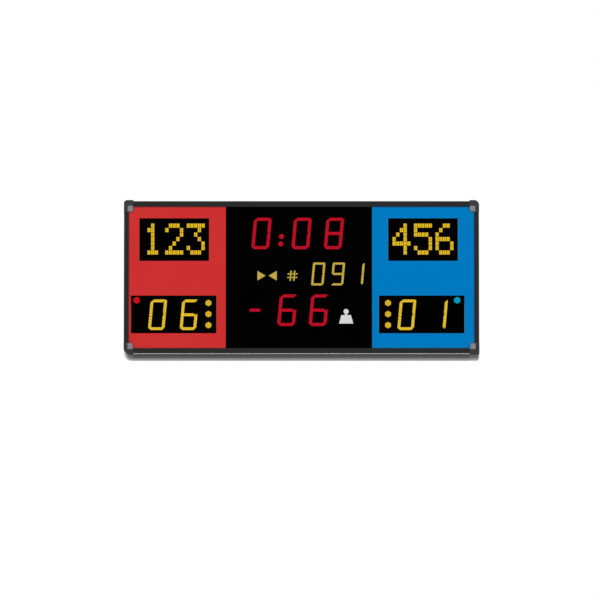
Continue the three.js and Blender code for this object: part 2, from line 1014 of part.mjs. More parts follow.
function scoreFigures(symbols, firstX, dotsX) {
  const figures = symbols.flatMap((symbol, i) =>
    figure(symbol, scoreDigit, cornerShares, firstX + i * scorePitch, scoreZ),
  );
  for (const level of [-1, 0, 1]) {
    figures.push(cluster(dotsX, dotsZ + level * dotPitch, dotRadius));
  }
  return figures;
}

function matrixFigures(symbols, centreX) {
  const pixels = [];
  symbols.forEach((symbol, place) => {
    const characterX = centreX + (place - (symbols.length - 1) / 2) * characterPitch;
    matrixRows[symbol].forEach((row, i, rows) => {
      const z = charactersZ + ((rows.length - 1) / 2 - i) * rowPitch;
      [...row].forEach((mark, j) => {
        const x = characterX + (j - (row.length - 1) / 2) * columnPitch;
        if (mark === "1") pixels.push(rectangle(x, z, pixelWidth, pixelHeight));
      });
    });
  });
  return pixels;
}

// A lens stands through the openings of the sheet in front of it, on one clear plate behind it
function lens(plate, figures) {
  const bars = figures.map((outline) =>
    alongY(drawnIn(outline, fit), faceFront - lensProud, lensFront + lensThickness / 2),
  );
  return joined([alongY(plate, lensFront, lensRear), ...bars]);
}

function boundsOf(figures, margin) {
  const all = figures.flat();
  const xs = all.map(([x]) => x);
  const zs = all.map(([, z]) => z);
  return span(
    Math.min(...xs) - margin,
    Math.max(...xs) + margin,
    Math.min(...zs) - margin,
    Math.max(...zs) + margin,
  );
}

function circuit(plate) {
  return alongY(plate, circuitFront, circuitRear);
}

// Front sheets and displays

function buildFace(centreFigures) {
  const high = faceHalfHeight + faceUnderLip;
  const far = faceHalfWidth + faceUnderLip;
  const redWindows = [
    rectangle(redNameX, nameWindowZ, nameWindowWidth, nameWindowHeight),
    rectangle(redScoreX, scoreWindowZ, scoreWindowWidth, scoreWindowHeight),
  ];
  const blueWindows = [
    rectangle(blueNameX, nameWindowZ, nameWindowWidth, nameWindowHeight),
    rectangle(blueScoreX, scoreWindowZ, scoreWindowWidth, scoreWindowHeight),
  ];
  const red = span(-far, -redEdge - fit / 2, -high, high);
  const centre = span(-redEdge + fit / 2, blueEdge - fit / 2, -high, high);
  const blue = span(blueEdge + fit / 2, far, -high, high);
  add("red_face_panel", sheet(red, faceFront, faceRear, redWindows), "redSheet");
  add("centre_face_panel", sheet(centre, faceFront, faceRear, centreFigures), "blackSheet");
  add("blue_face_panel", sheet(blue, faceFront, faceRear, blueWindows), "blueSheet");
}

function buildNameDisplay(side, centreX, symbols) {
  const pixels = matrixFigures(symbols, centreX);
  const opening = rectangle(centreX, nameWindowZ, nameWindowWidth, nameWindowHeight);
  const plate = boundsOf([opening], lensMargin);
  add(`${side}_name_window`, sheet(drawnIn(opening, fit), faceFront, faceRear, pixels), "windowTint");
  add(`${side}_name_pixels`, lens(plate, pixels), "yellowLight");
  add(`${side}_name_board`, circuit(plate), "darkCircuit");
}

function buildScoreDisplay(side, centreX, symbols, firstX, dotsX, lampX, lampFinish) {
  const figures = scoreFigures(symbols, firstX, dotsX);
  const lamp = cluster(lampX, lampZ, lampRadius);
  const opening = rectangle(centreX, scoreWindowZ, scoreWindowWidth, scoreWindowHeight);
  const plate = boundsOf([opening], lensMargin);
  const lampOutline = rectangle(lampX, lampZ, lampPlate, lampPlate);
  const outward = Math.sign(lampX);
  const inner = lampX - outward * (lampPlate / 2 + fit);
  const outer = outward * halfWidth;
  const clearOfLamp = block(
    Math.min(inner, outer),
    Math.max(inner, outer),
    lensFront - overrun,
    lensRear + overrun,
    lampZ - lampPlate / 2 - fit,
    lampZ + lampPlate + overrun,
  );
  const window = sheet(drawnIn(opening, fit), faceFront, faceRear, [...figures, lamp]);
  add(`${side}_score_window`, window, "windowTint");
  add(`${side}_score_digits`, cut(lens(plate, figures), [clearOfLamp]), "yellowLight");
  add(`${side}_lead_lamp`, lens(lampOutline, [lamp]), lampFinish);
  add(`${side}_score_board`, circuit(plate), "darkCircuit");
}

function buildCentreDisplays(timer, match, weight, mark) {
  add("timer_digits", lens(boundsOf(timer, lensMargin), timer), "redLight");
  add("match_number_digits", lens(boundsOf(match, lensMargin), match), "yellowLight");
  add("weight_digits", lens(boundsOf(weight, lensMargin), weight), "redLight");
  add("weight_mark", lens(boundsOf(mark, lensMargin), mark), "whiteLight");
  const margin = lensMargin + circuitMargin;
  add("timer_board", circuit(boundsOf(timer, margin)), "darkCircuit");
  add("match_number_board", circuit(boundsOf(match, margin)), "darkCircuit");
  add("weight_board", circuit(boundsOf([...weight, ...mark], margin)), "darkCircuit");
}

// Carriers

function buildCarriers() {
  const reach = halfWidth - railWall - fit;
  const middleLeft = -redEdge - postWidth / 2;
  const middleRight = blueEdge + postWidth / 2;
  const rails = [
    ["top", -reach, reach, moduleRailTopZ],
    ["middle", middleLeft, middleRight, moduleRailMiddleZ],
    ["bottom", -reach, reach, moduleRailBottomZ],
  ];
  for (const [level, left, right, z] of rails) {
    const low = z - moduleRailHeight / 2;
    const high = z + moduleRailHeight / 2;
    const rail = block(left, right, moduleRailFront, moduleRailRear, low, high);
    add(`module_rail_${level}`, rail, "aluminium");
  }
  const postEnd = innerWall(halfHeight, postFront, flankSwell) - fit;
  const postY = postFront + postDepth / 2;
  for (const [side, x] of [["red", -redEdge], ["blue", blueEdge]]) {
    const outline = rectangle(x, postY, postWidth, postDepth);
    const bore = rectangle(x, postY, postWidth - 2 * postWall, postDepth - 2 * postWall);
    add(`support_post_${side}`, alongZ(outline, -postEnd, postEnd, [bore]), "aluminium");
  }
  const plate = block(
    middleLeft - chassisPastPost,
    middleRight + chassisPastPost,
    chassisFront,
    chassisRear,
    -chassisHeight / 2,
    chassisHeight / 2,
  );
  add("chassis_plate", plate, "zincSteel");
}

function buildPowerSupply() {
  const front = chassisRear + fit;
  const low = supplyZ - supplyHeight / 2;
  const high = supplyZ + supplyHeight / 2;
  const right = supplyX + supplyWidth / 2;
  const left = supplyX - supplyWidth / 2;
  const terminals = block(
    supplyX - terminalWidth / 2,
    supplyX + terminalWidth / 2,
    front,
    front + terminalDepth,
    low - terminalHeight,
    low + terminalHeight,
  );
  const shell = block(left, right, front, front + supplyDepth, low, high);
  add("power_supply", joined([shell, terminals]), "zincSteel");
}

function buildController() {
  const foot = chassisRear + fit;
  const front = foot + standoffHeight;
  const rear = front + circuitThickness;
  const halfAcross = controllerWidth / 2;
  const halfUp = controllerHeight / 2;
  const pieces = [
    block(
      controllerX - halfAcross,
      controllerX + halfAcross,
      front,
      rear,
      controllerZ - halfUp,
      controllerZ + halfUp,
    ),
  ];
  for (const sideX of [-1, 1]) {
    for (const sideZ of [-1, 1]) {
      const x = controllerX + sideX * (halfAcross - standoffInset);
      const z = controllerZ + sideZ * (halfUp - standoffInset);
      pieces.push(alongY(disc(x, z, standoffRadius), foot, rear));
    }
  }
  const chip = rectangle(controllerX, controllerZ, chipSize, chipSize);
  pieces.push(alongY(chip, front, rear + chipHeight));
  for (const sideZ of [-1, 1]) {
    const z = controllerZ + sideZ * (halfUp - headerHeight);
    const header = rectangle(controllerX, z, headerWidth, headerHeight);
    pieces.push(alongY(header, front, rear + headerDepth));
  }
  for (const level of [-1, 0, 1]) {
    const x = controllerX - halfAcross / 2;
    const can = disc(x, controllerZ + level * canSpacing, canRadius);
    pieces.push(alongY(can, front, rear + canHeight));
  }
  add("controller_board", joined(pieces), "circuit");
}

// The horn is a turned shape about an axis along Y, its flange against the rear panel
function buildHorn() {
  const flangeRear = rearPanelFront - fit;
  const flangeFront = flangeRear - hornFlange;
  const coneFront = flangeFront - hornConeDepth;
  const magnetFront = coneFront - hornMagnetDepth;
  const profile = [
    [0, magnetFront],
    [hornMagnetRadius, magnetFront],
    [hornMagnetRadius, coneFront],
    [hornThroatRadius, coneFront],
    [hornRadius - hornFlange, flangeFront],
    [hornRadius, flangeFront],
    [hornRadius, flangeRear],
    [hornRadius - hornFlange, flangeRear],
    [hornThroatRadius - hornFlange, coneFront + hornFlange],
    [0, coneFront + hornFlange],
  ].map(([radius, y]) => new THREE.Vector2(radius, y));
  const horn = new THREE.LatheGeometry(profile, roundSides);
  const turn = new THREE.Matrix4().makeBasis(
    new THREE.Vector3(1, 0, 0),
    new THREE.Vector3(0, 1, 0),
    new THREE.Vector3(0, 0, 1),
  );
  add("horn", horn.applyMatrix4(turn).translate(hornX, 0, hornZ), "blackPlastic");
}

// Rear panel, hatch, hinge and latches

const openingLeft = hatchOpeningX - hatchOpeningWidth / 2;
const openingRight = hatchOpeningX + hatchOpeningWidth / 2;
const hatchLeft = openingLeft - hatchOverlap;
const hatchHalfHeight = hatchOpeningHeight / 2 + hatchOverlap;
const hingeX = hatchLeft - barrelRadius - fit;
const hingeY = outsideRear + barrelRadius;

function hornSlots() {
  const slots = [];
  for (let i = 0; i < slotCount; i += 1) {
    const z = (i - (slotCount - 1) / 2) * slotPitch;
    const reach = Math.sqrt((hornRadius - hornFlange) ** 2 - z ** 2) - slotWidth;
    slots.push(span(hornX - reach, hornX + reach, hornZ + z - slotWidth / 2, hornZ + z + slotWidth / 2));
  }
  return slots;
}

function buildRearPanel() {
  const outline = rectangle(0, 0, 2 * (faceHalfWidth + rearUnderLip), 2 * (faceHalfHeight + rearUnderLip));
  const holes = [
    rectangle(hatchOpeningX, 0, hatchOpeningWidth, hatchOpeningHeight),
    rectangle(inletX, inletZ, inletWidth + 2 * fit, inletHeight + 2 * fit),
    rectangle(dataX, dataZ, dataShellWidth + 2 * fit, dataShellHeight + 2 * fit),
    ...hornSlots(),
  ];
  add("rear_panel", sheet(outline, rearPanelFront, rearPanelRear, holes), "darkSteel");
}

// Knuckles take turns along the hinge: the even ones are the leaf's, the odd ones the hatch's
function knuckles(parity) {
  const pieces = [];
  const length = 2 * hatchHalfHeight;
  for (let i = parity; i < knuckleShares.length - 1; i += 2) {
    const low = -hatchHalfHeight + length * knuckleShares[i] + fit / 2;
    const high = -hatchHalfHeight + length * knuckleShares[i + 1] - fit / 2;
    const reach = parity ? hatchLeft + barrelRadius : hingeX - barrelRadius - barrelRadius;
    const web = span(
      Math.min(hingeX, reach),
      Math.max(hingeX, reach),
      outsideRear,
      outsideRear + leafThickness,
    );
    const barrel = alongZ(disc(hingeX, hingeY, barrelRadius), low, high);
    pieces.push({ barrel, web: alongZ(web, low, high) });
  }
  return pieces;
}

function buildHatch() {
  const outline = span(
    hatchLeft,
    openingRight + hatchOverlap,
    -hatchHalfHeight,
    hatchHalfHeight,
  );
  const latchX = openingRight - latchInset;
  const holes = [-1, 1].map((side) => disc(latchX, (side * latchSpacing) / 2, latchHoleRadius));
  const plate = sheet(outline, outsideRear, outsideRear + hatchThickness, holes);
  const pieces = knuckles(1).flatMap(({ barrel, web }) => [barrel, web]);
  const bore = alongZ(disc(hingeX, hingeY, hingeBoreRadius), -boardHeight, boardHeight);
  add("service_hatch", cut(plate.add(joined(pieces)), [bore]), "darkSteel");

  const leafRight = hingeX - barrelRadius - fit;
  const leaf = block(
    leafRight - leafWidth,
    leafRight,
    outsideRear,
    outsideRear + leafThickness,
    -hatchHalfHeight,
    hatchHalfHeight,
  );
  const pin = alongZ(disc(hingeX, hingeY, hingePinRadius), -hatchHalfHeight, hatchHalfHeight);
  const fixed = knuckles(0).flatMap(({ barrel, web }) => [barrel, web]);
  add("hatch_hinge", joined([leaf, pin, ...fixed]), "zincSteel");
}

function latch(z) {
  const x = openingRight - latchInset;
  const tongueRearY = rearPanelFront - fit;
  const tongueFrontY = tongueRearY - latchTongueThickness;
  const headFront = outsideRear + hatchThickness + fit;
  const headRear = headFront + latchHeadHeight;
  const half = tongueWidth / 2;
  return joined([
    alongY(disc(x, z, latchShaftRadius), tongueFrontY, headFront),
    alongY(disc(x, z, latchHeadRadius), headFront, headRear),
    block(
      x - latchGripWidth / 2,
      x + latchGripWidth / 2,
      headFront,
      headRear + latchGripHeight,
      z - latchHeadRadius + latchGripWidth / 2,
      z + latchHeadRadius - latchGripWidth / 2,
    ),
    block(x - half, x + half, tongueFrontY, tongueRearY, z - half, z + tongueLength),
  ]);
}

function buildLatches() {
  add("latch_upper", latch(latchSpacing / 2), "blackPlastic");
  add("latch_lower", latch(-latchSpacing / 2), "blackPlastic");
}

// Power inlet, rocker, fuse drawer and data socket

const socketZ = inletZ - socketBelow;
const fuseZ = inletZ - fuseBelow;
const rockerZ = inletZ + rockerAbove;
const inletRear = outsideRear + inletFlangeThickness;

function buildInlet() {
  const front = inletRear - inletDepth;
  const shell = joined([
    alongY(rectangle(inletX, inletZ, inletWidth, inletHeight), front, outsideRear + fit),
    alongY(
      rectangle(inletX, inletZ, inletWidth + 2 * inletFlange, inletHeight + 2 * inletFlange),
      outsideRear,
      inletRear,
    ),
  ]);
  const past = inletRear + overrun;
  const pockets = [
    [socketZ, socketHeight, socketDepth],
    [fuseZ, fusePocketHeight, fusePocketDepth],
    [rockerZ, rockerPocketHeight, rockerPocketDepth],
  ].map(([z, height, depth]) =>
    alongY(rectangle(inletX, z, pocketWidth, height), inletRear - depth, past),
  );
  const floor = inletRear - socketDepth;
  const lift = pinHeight / 2;
  const pins = [
    [inletX - pinSpacing, socketZ - lift],
    [inletX + pinSpacing, socketZ - lift],
    [inletX, socketZ + lift],
  ].map(([x, z]) => alongY(rectangle(x, z, pinWidth, pinHeight), floor - pinWidth, floor + pinLength));
  const whole = pins.reduce((rest, pin) => rest.add(solidOf(pin)), cut(shell, pockets));
  add("power_inlet", whole, "blackPlastic");

  const drawer = joined([
    alongY(
      rectangle(inletX, fuseZ, pocketWidth - 2 * fit, fusePocketHeight - 2 * fit),
      inletRear - fusePocketDepth + fit,
      inletRear + fit + fuseHeadThickness,
    ),
    alongY(
      rectangle(inletX, fuseZ, pocketWidth + fuseHeadThickness, fusePocketHeight + fuseHeadThickness),
      inletRear + fit,
      inletRear + fit + fuseHeadThickness,
    ),
  ]);
  add("fuse_drawer", drawer, "blackPlastic");
}

// The rocker's section about its pivot, tilted to its on side
function buildRocker() {
  const cosine = Math.cos(rockerTilt);
  const sine = Math.sin(rockerTilt);
  const section = [
    [-rockerKeel, -rockerKeelHalf],
    [0, -rockerHalfHeight],
    [rockerFace, -rockerHalfHeight],
    [rockerValley, 0],
    [rockerFace, rockerHalfHeight],
    [0, rockerHalfHeight],
    [-rockerKeel, rockerKeelHalf],
  ].map(([y, z]) => [inletRear + y * cosine - z * sine, rockerZ + y * sine + z * cosine]);
  const half = pocketWidth / 2 - fit;
  add("power_rocker", alongX(section, inletX - half, inletX + half), "redPlastic");
}

function buildDataSocket() {
  const shellRear = outsideRear + dataFlangeThickness + dataShellDepth;
  const socket = joined([
    alongY(
      rectangle(dataX, dataZ, dataFlangeWidth, dataFlangeHeight),
      outsideRear,
      outsideRear + dataFlangeThickness,
    ),
    alongY(
      rectangle(dataX, dataZ, dataShellWidth, dataShellHeight),
      rearPanelFront - dataBodyDepth,
      shellRear,
    ),
  ]);
  add("data_socket", socket, "zincSteel");
}

// Wall rails: a channel whose back lies on the wall

function buildWallRails() {
  const half = wallRailHeight / 2;
  const inner = half - wallRailWall;
  const section = [
    [outsideRear, -half],
    [wallY, -half],
    [wallY, half],
    [outsideRear, half],
    [outsideRear, inner],
    [wallY - wallRailWall, inner],
    [wallY - wallRailWall, -inner],
    [outsideRear, -inner],
  ];
  for (const [level, z] of [["upper", wallRailZ], ["lower", -wallRailZ]]) {
    const placed = section.map(([y, height]) => [y, z + height]);
    const rail = alongX(placed, -wallRailLength / 2, wallRailLength / 2);
    add(`wall_rail_${level}`, rail, "zincSteel");
  }
}

// Looms

function tube(points, radius, steps) {
  const path = new THREE.CatmullRomCurve3(points.map((place) => new THREE.Vector3(...place)));
  const shape = shapeOf(disc(0, 0, radius, loomSides));
  return new THREE.ExtrudeGeometry(shape, { steps, bevelEnabled: false, extrudePath: path });
}

function buildLooms() {
  const inletFront = inletRear - inletDepth;
  const startY = inletFront - fit;
  const runY = chassisRear + mainsRadius + fit;
  const lowZ = -chassisHeight / 2 + loomLow / 2;
  const supplyLow = supplyZ - supplyHeight / 2 - terminalHeight;
  const supplyY = chassisRear + fit + terminalDepth / 2;
  const leftRun = supplyX + loomRun;
  const mains = [
    [inletX, startY, inletZ],
    [inletX, startY - loomStandoff / 4, inletZ],
    [inletX - loomStandoff, runY, inletZ],
    [inletX - loomRun, runY, inletZ + loomStandoff / 2],
    [blueEdge, runY, lowZ - loomStandoff / 2],
    [controllerX, runY, lowZ],
    [leftRun, runY, lowZ],
    [supplyX + loomStandoff, runY, lowZ + loomStandoff / 2],
    [supplyX, supplyY, supplyLow - loomStandoff],
    [supplyX, supplyY, supplyLow - fit],
  ];
  add("mains_loom", tube(mains, mainsRadius, mainsSteps), "cableJacket");

  const supplyTop = supplyZ + supplyHeight / 2;
  const headerTop = controllerZ + controllerHeight / 2;
  const loomX = supplyX + supplyWidth / 4;
  const dropX = controllerX - controllerWidth / 4;
  const archZ = supplyTop + loomLow;
  const direct = [
    [loomX, supplyY, supplyTop + fit],
    [loomX, supplyY, supplyTop + loomStandoff],
    [loomX + loomStandoff, supplyY, archZ],
    [dropX - loomStandoff, supplyY, archZ],
    [dropX, supplyY, headerTop + loomStandoff / 2],
    [dropX, supplyY, headerTop + fit],
  ];
  add("supply_loom", tube(direct, supplyLoomRadius, supplyLoomSteps), "cableJacket");

  const ribbonFront = chassisRear + fit + standoffHeight + circuitThickness + fit;
  const ribbonRear = ribbonFront + ribbonThickness;
  const overTop = chassisHeight / 2 + ribbonAbove;
  const startZ = headerTop - headerHeight / 2 + fit;
  const outer = arc(ribbonRear - ribbonBend, overTop - ribbonBend, ribbonBend, 0, 90, arcSteps);
  const innerBend = ribbonBend - ribbonThickness;
  const inner = arc(ribbonRear - ribbonBend, overTop - ribbonBend, innerBend, 90, 0, arcSteps);
  const strip = [
    [ribbonFront, startZ],
    [ribbonRear, startZ],
    ...outer,
    [circuitRear + fit, overTop],
    [circuitRear + fit, overTop - ribbonThickness],
    ...inner,
  ];
  const ribbon = alongX(strip, controllerX - ribbonWidth / 2, controllerX + ribbonWidth / 2);
  add("data_ribbon", ribbon, "ribbonJacket");
}

const timer = timerFigures();
const match = matchFigures();
const weight = weightFigures();
const mark = weightMark();

buildRails();
buildCorners();
buildFace([...timer, ...match, ...weight, ...mark]);
buildNameDisplay("red", redNameX, ["1", "2", "3"]);
buildNameDisplay("blue", blueNameX, ["4", "5", "6"]);
buildScoreDisplay("red", redScoreX, ["0", "6"], redScoreFirstX, redDotsX, redLampX, "redLight");
buildScoreDisplay("blue", blueScoreX, ["0", "1"], blueScoreFirstX, blueDotsX, blueLampX, "cyanLight");
buildCentreDisplays(timer, match, weight, mark);
buildCarriers();
buildPowerSupply();
buildController();
buildHorn();
buildRearPanel();
buildHatch();
buildLatches();
buildInlet();
buildRocker();
buildDataSocket();
buildWallRails();
buildLooms();

export default scoreboard;
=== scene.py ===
import math

import bmesh
import bpy
from mathutils import Matrix, Vector


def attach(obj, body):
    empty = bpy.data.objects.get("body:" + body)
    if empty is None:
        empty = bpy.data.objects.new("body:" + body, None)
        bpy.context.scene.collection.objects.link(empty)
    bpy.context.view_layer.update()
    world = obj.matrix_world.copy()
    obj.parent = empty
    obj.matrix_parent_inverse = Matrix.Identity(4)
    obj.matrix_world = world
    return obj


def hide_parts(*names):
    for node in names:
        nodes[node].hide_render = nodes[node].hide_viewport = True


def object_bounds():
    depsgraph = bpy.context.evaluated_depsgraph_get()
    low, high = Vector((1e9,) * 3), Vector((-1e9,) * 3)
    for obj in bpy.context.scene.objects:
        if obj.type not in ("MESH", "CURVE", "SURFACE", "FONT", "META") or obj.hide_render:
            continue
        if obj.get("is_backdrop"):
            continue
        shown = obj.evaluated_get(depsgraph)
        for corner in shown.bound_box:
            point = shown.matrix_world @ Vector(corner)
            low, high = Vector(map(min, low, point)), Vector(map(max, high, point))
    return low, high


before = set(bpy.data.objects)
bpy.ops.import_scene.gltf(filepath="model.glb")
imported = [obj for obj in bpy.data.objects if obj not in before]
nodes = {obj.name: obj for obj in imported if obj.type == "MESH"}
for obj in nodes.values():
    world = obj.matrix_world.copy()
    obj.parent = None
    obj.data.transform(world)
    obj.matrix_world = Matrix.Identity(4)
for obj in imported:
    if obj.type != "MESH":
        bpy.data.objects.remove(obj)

cad_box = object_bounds()

# The board's own measurements, in metres. FRONT is its front plane and MIDDLE the height of its middle
FRONT = -0.135
MIDDLE = -0.240
HALF_WIDTH = 0.8262
HALF_HEIGHT = 0.3676
DEPTH = 0.105
RAIL_WALL = 0.0025
SIDE_LIP = 0.0232
TOP_LIP = 0.0291
LIP_RADIUS = 0.0065
REAR_RADIUS = 0.003
REAR_STEPS = 5
OUTER_SHARE = 0.9
# Where the painted highlight on the rails' front radius is brightest, in degrees turned from the
# front, and how far to each side it fades out
HIGHLIGHT_TURN = 40
HIGHLIGHT_SPREAD = 40
RIB_FRONT = 0.0061
RIB_THICKNESS = 0.002
RIB_BELOW_LIP = 0.003
RIB_INTO_WALL = 0.0005
RIB_EDGE = 0.0003
FLANK_SWELL = 0.0091
FLANK_CROWN = 0.72
CAP_START_X = 0.782
CAP_START_Z = 0.3145
CAP_WALL = 0.003
CAP_PROUD_SIDE = 0.0005
CAP_PROUD_TOP = 0.004
CAP_PROUD_FRONT = 0.0015
CAP_RADII = {"top_left": 0.016, "top_right": 0.023, "bottom_left": 0.036, "bottom_right": 0.010}
CAP_CORNER_STEPS = 18
CAP_EDGE = 0.003
CAP_EDGE_STEPS = 5
CAP_WORN_SHARE = 0.4
CAP_SWELL = 0.00514
CAP_CROWN = 0.6
FIT = 0.0003
PLUG_WIDTH = 0.027
PLUG_HEIGHT = 0.030
PLUG_INSET = 0.0162
PLUG_EDGE = 0.0016
PLUG_RIM = 0.0032
PLUG_STEP = 0.0012
PLUG_SUNK = 0.0005
PLUG_CORNER = 0.007
PLUG_PROUD = 0.0025
PLUG_WORN = 0.0008
FILLET_SUNK = 0.0002
TONGUE_REACH = 0.022
TONGUE_ROOT = 0.015
TONGUE_THICKNESS = 0.014
TONGUE_FRONT = 0.0221
TONGUE_REAR = 0.0884
TONGUE_EDGE = 0.0012
SWELL_ROWS = 14
ARC_STEPS = 8
SLACK = 2e-5
MERGED = 0.000005
SMALL_EDGE = 0.00012
WORN_SHARE = 0.9
BORE_SHARE = 0.8
SHADE_ANGLE = 40

# The lit figures. A millimetre dome is scaled to each diode
MILLIMETRES = 1000
DIODE_PITCH = 0.0072
DIODE_HEIGHT = 0.0026
DIODE_SEAT = 0.00005
LIT_FOOT = 0.0024
DIODE_SHARE = 0.47
DIODE_ROOM = 0.75
RING_SHARE = 0.64
DOT_DIODE_SHARE = 0.3
DOT_CORNERS = 14
DOT_ROUNDNESS = 2.3
BAR_FILL = 0.62
THINNEST_BAR = 0.006
JOINT_GAP = 0.006
WEDGE_SHARES = (0.3, 0.78)
WEDGE_THICKNESS = 0.00044

# Planes and places of the rear and the inside. The REAR ones look out of the board's back
PANEL_REAR = -0.0325
LEAF_X = -0.2816
LEAF_REAR = -0.031
LATCH_X = 0.16
LATCH_LEVEL = 0.07
INLET_X = 0.52
INLET_Z = -0.39
INLET_REAR = -0.03
FUSE_Z = -0.3915
SOCKET_Z = -0.412
SOCKET_DEPTH = 0.018
DATA_X = 0.44
DATA_Z = -0.39
DATA_PITCH = 0.00277
CHASSIS_REAR = -0.08564
SUPPLY_REAR = -0.04364
CIRCUIT_X = 0.055
CIRCUIT_REAR = -0.07604
CIRCUIT_THICKNESS = 0.0016
CORES_SCALE = 247.0
FIRST_CORE_X = 0.0414


# Work on one piece

def deselect():
    if bpy.context.mode != "OBJECT":
        bpy.ops.object.mode_set(mode="OBJECT")
    bpy.ops.object.select_all(action="DESELECT")


def pick(*pieces):
    deselect()
    for piece in pieces:
        piece.select_set(True)
    bpy.context.view_layer.objects.active = pieces[0]


def open_mesh(piece):
    pick(piece)
    bpy.ops.object.mode_set(mode="EDIT")
    bpy.ops.mesh.select_all(action="DESELECT")


def close_mesh():
    bpy.ops.object.mode_set(mode="OBJECT")


def choose(kind, test):
    """Selects the open mesh's VERT, EDGE or FACE parts that pass a test."""
    bpy.ops.mesh.select_mode(type=kind)
    bpy.ops.mesh.select_all(action="DESELECT")
    data = bpy.context.edit_object.data
    shape = bmesh.from_edit_mesh(data)
    parts = {"VERT": shape.verts, "EDGE": shape.edges, "FACE": shape.faces}[kind]
    for part in parts:
        if test(part):
            part.select_set(True)
    bmesh.update_edit_mesh(data)


def near(value, target, slack=SLACK):
    return abs(value - target) < slack


def both_ends(edge, test):
    return all(test(vert.co) for vert in edge.verts)


def along_depth(edge):
    return abs(edge.verts[0].co.y - edge.verts[1].co.y) > 1e-4


def block(name, low, high):
    """A cube primitive between two corners."""
    deselect()
    corners = list(zip(low, high))
    low = Vector([min(pair) for pair in corners])
    high = Vector([max(pair) for pair in corners])
    bpy.ops.mesh.primitive_cube_add(size=1, location=(low + high) / 2)
    piece = bpy.context.object
    piece.name = name
    piece.scale = high - low
    bpy.ops.object.transform_apply(location=True, rotation=True, scale=True)
    return piece


def cut_across(direction, place):
    """Bisects the whole open mesh by a plane square to a direction."""
    bpy.ops.mesh.select_mode(type="FACE")
    bpy.ops.mesh.select_all(action="SELECT")
    bpy.ops.mesh.bisect(plane_co=[side * place for side in direction], plane_no=direction)


def rounded_by(piece, width, steps, angle=35):
    pick(piece)
    bevel = piece.modifiers.new("rounded", "BEVEL")
    bevel.width = width
    bevel.segments = steps
    bevel.limit_method = "ANGLE"
    bevel.angle_limit = math.radians(angle)
    bpy.ops.object.modifier_apply(modifier=bevel.name)


def walled(piece, thickness):
    """Gives an open shell its wall, inward from the faces that were modelled."""
    pick(piece)
    wall = piece.modifiers.new("wall", "SOLIDIFY")
    wall.thickness = thickness
    wall.offset = -1
    wall.use_even_offset = True
    bpy.ops.object.modifier_apply(modifier=wall.name)


def cut_by(piece, cutter):
    """Cuts a piece by another, which is used up."""
    pick(piece)
    cut = piece.modifiers.new("cut", "BOOLEAN")
    cut.operation = "DIFFERENCE"
    cut.object = cutter
    cut.solver = "EXACT"
    bpy.ops.object.modifier_apply(modifier=cut.name)
    bpy.data.objects.remove(cutter)


def smoothed(piece, angle=32):
    pick(piece)
    bpy.ops.object.shade_smooth_by_angle(angle=math.radians(angle))


def joined_as(name, pieces):
    pick(*pieces)
    if len(pieces) > 1:
        bpy.ops.object.join()
    whole = bpy.context.view_layer.objects.active
    whole.name = name
    return whole


def copy_at(piece, shift):
    other = bpy.data.objects.new(piece.name, piece.data.copy())
    bpy.context.scene.collection.objects.link(other)
    other.data.transform(Matrix.Translation(shift))
    return other


def dressed(piece, body, slot_name, material, *replaced):
    """Gives a finished piece its material, its body and the nodes that it stands for."""
    piece.data.materials.clear()
    piece.data.materials.append(material)
    for face in piece.data.polygons:
        face.material_index = 0
    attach(piece, body)
    if replaced:
        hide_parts(*replaced)


def mark_worn_edges(piece, width):
    """Marks the points that have only narrow faces round them, which are those on rounded edges."""
    shape = bmesh.new()
    shape.from_mesh(piece.data)
    values = []
    for vert in shape.verts:
        widths = []
        for face in vert.link_faces:
            widths.append(face.calc_area() / max(edge.calc_length() for edge in face.edges))
        values.append(1.0 if widths and max(widths) < width else 0.0)
    shape.free()
    mark = piece.data.attributes.new("worn_edge", "FLOAT", "POINT")
    mark.data.foreach_set("value", values)


def merged_copy(name, node):
    """A copy of a node with its doubles merged and its flat faces made whole."""
    piece = bpy.data.objects.new(name, nodes[node].data.copy())
    bpy.context.scene.collection.objects.link(piece)
    open_mesh(piece)
    bpy.ops.mesh.select_all(action="SELECT")
    bpy.ops.mesh.remove_doubles(threshold=MERGED)
    bpy.ops.mesh.dissolve_limited(angle_limit=math.radians(0.5))
    close_mesh()
    return piece


def softened(piece, width, steps, angle=32):
    """Rounds a piece's edges, marks them as the ones that wear and shades it."""
    rounded_by(piece, width, steps, angle)
    mark_worn_edges(piece, width * WORN_SHARE)
    smoothed(piece, SHADE_ANGLE)
    return piece


# Node trees

def tone(red, green, blue):
    """A colour from its screen values, 0 to 255, as the shader takes it."""
    shares = [value / 255 for value in (red, green, blue)]
    return tuple(s / 12.92 if s <= 0.04045 else ((s + 0.055) / 1.055) ** 2.4 for s in shares) + (1.0,)


def put(tree, kind, values=None, **settings):
    made = tree.nodes.new(kind)
    for name, value in settings.items():
        setattr(made, name, value)
    for name, value in (values or {}).items():
        made.inputs[name].default_value = value
    return made


def wire(tree, source, target):
    tree.links.new(source, target)


def group_tree(name, inputs, outputs):
    tree = bpy.data.node_groups.new(name, "ShaderNodeTree")
    for socket, kind, value in inputs:
        made = tree.interface.new_socket(name=socket, in_out="INPUT", socket_type=kind)
        if value is not None:
            made.default_value = value
    for socket, kind in outputs:
        tree.interface.new_socket(name=socket, in_out="OUTPUT", socket_type=kind)
    return tree, put(tree, "NodeGroupInput"), put(tree, "NodeGroupOutput")


NUMBER = "NodeSocketFloat"
VECTOR = "NodeSocketVector"


def arithmetic(tree, operation, first, second):
    made = put(tree, "ShaderNodeMath", operation=operation)
    for socket, value in zip(made.inputs, (first, second)):
        if isinstance(value, (int, float)):
            socket.default_value = value
        else:
            wire(tree, value, socket)
    return made.outputs[0]


def ranged(tree, value, low, high, to_low=0.0, to_high=1.0, smooth=False):
    made = put(
        tree,
        "ShaderNodeMapRange",
        {"From Min": low, "From Max": high, "To Min": to_low, "To Max": to_high},
        interpolation_type="SMOOTHSTEP" if smooth else "LINEAR",
    )
    wire(tree, value, made.inputs["Value"])
    return made.outputs["Result"]


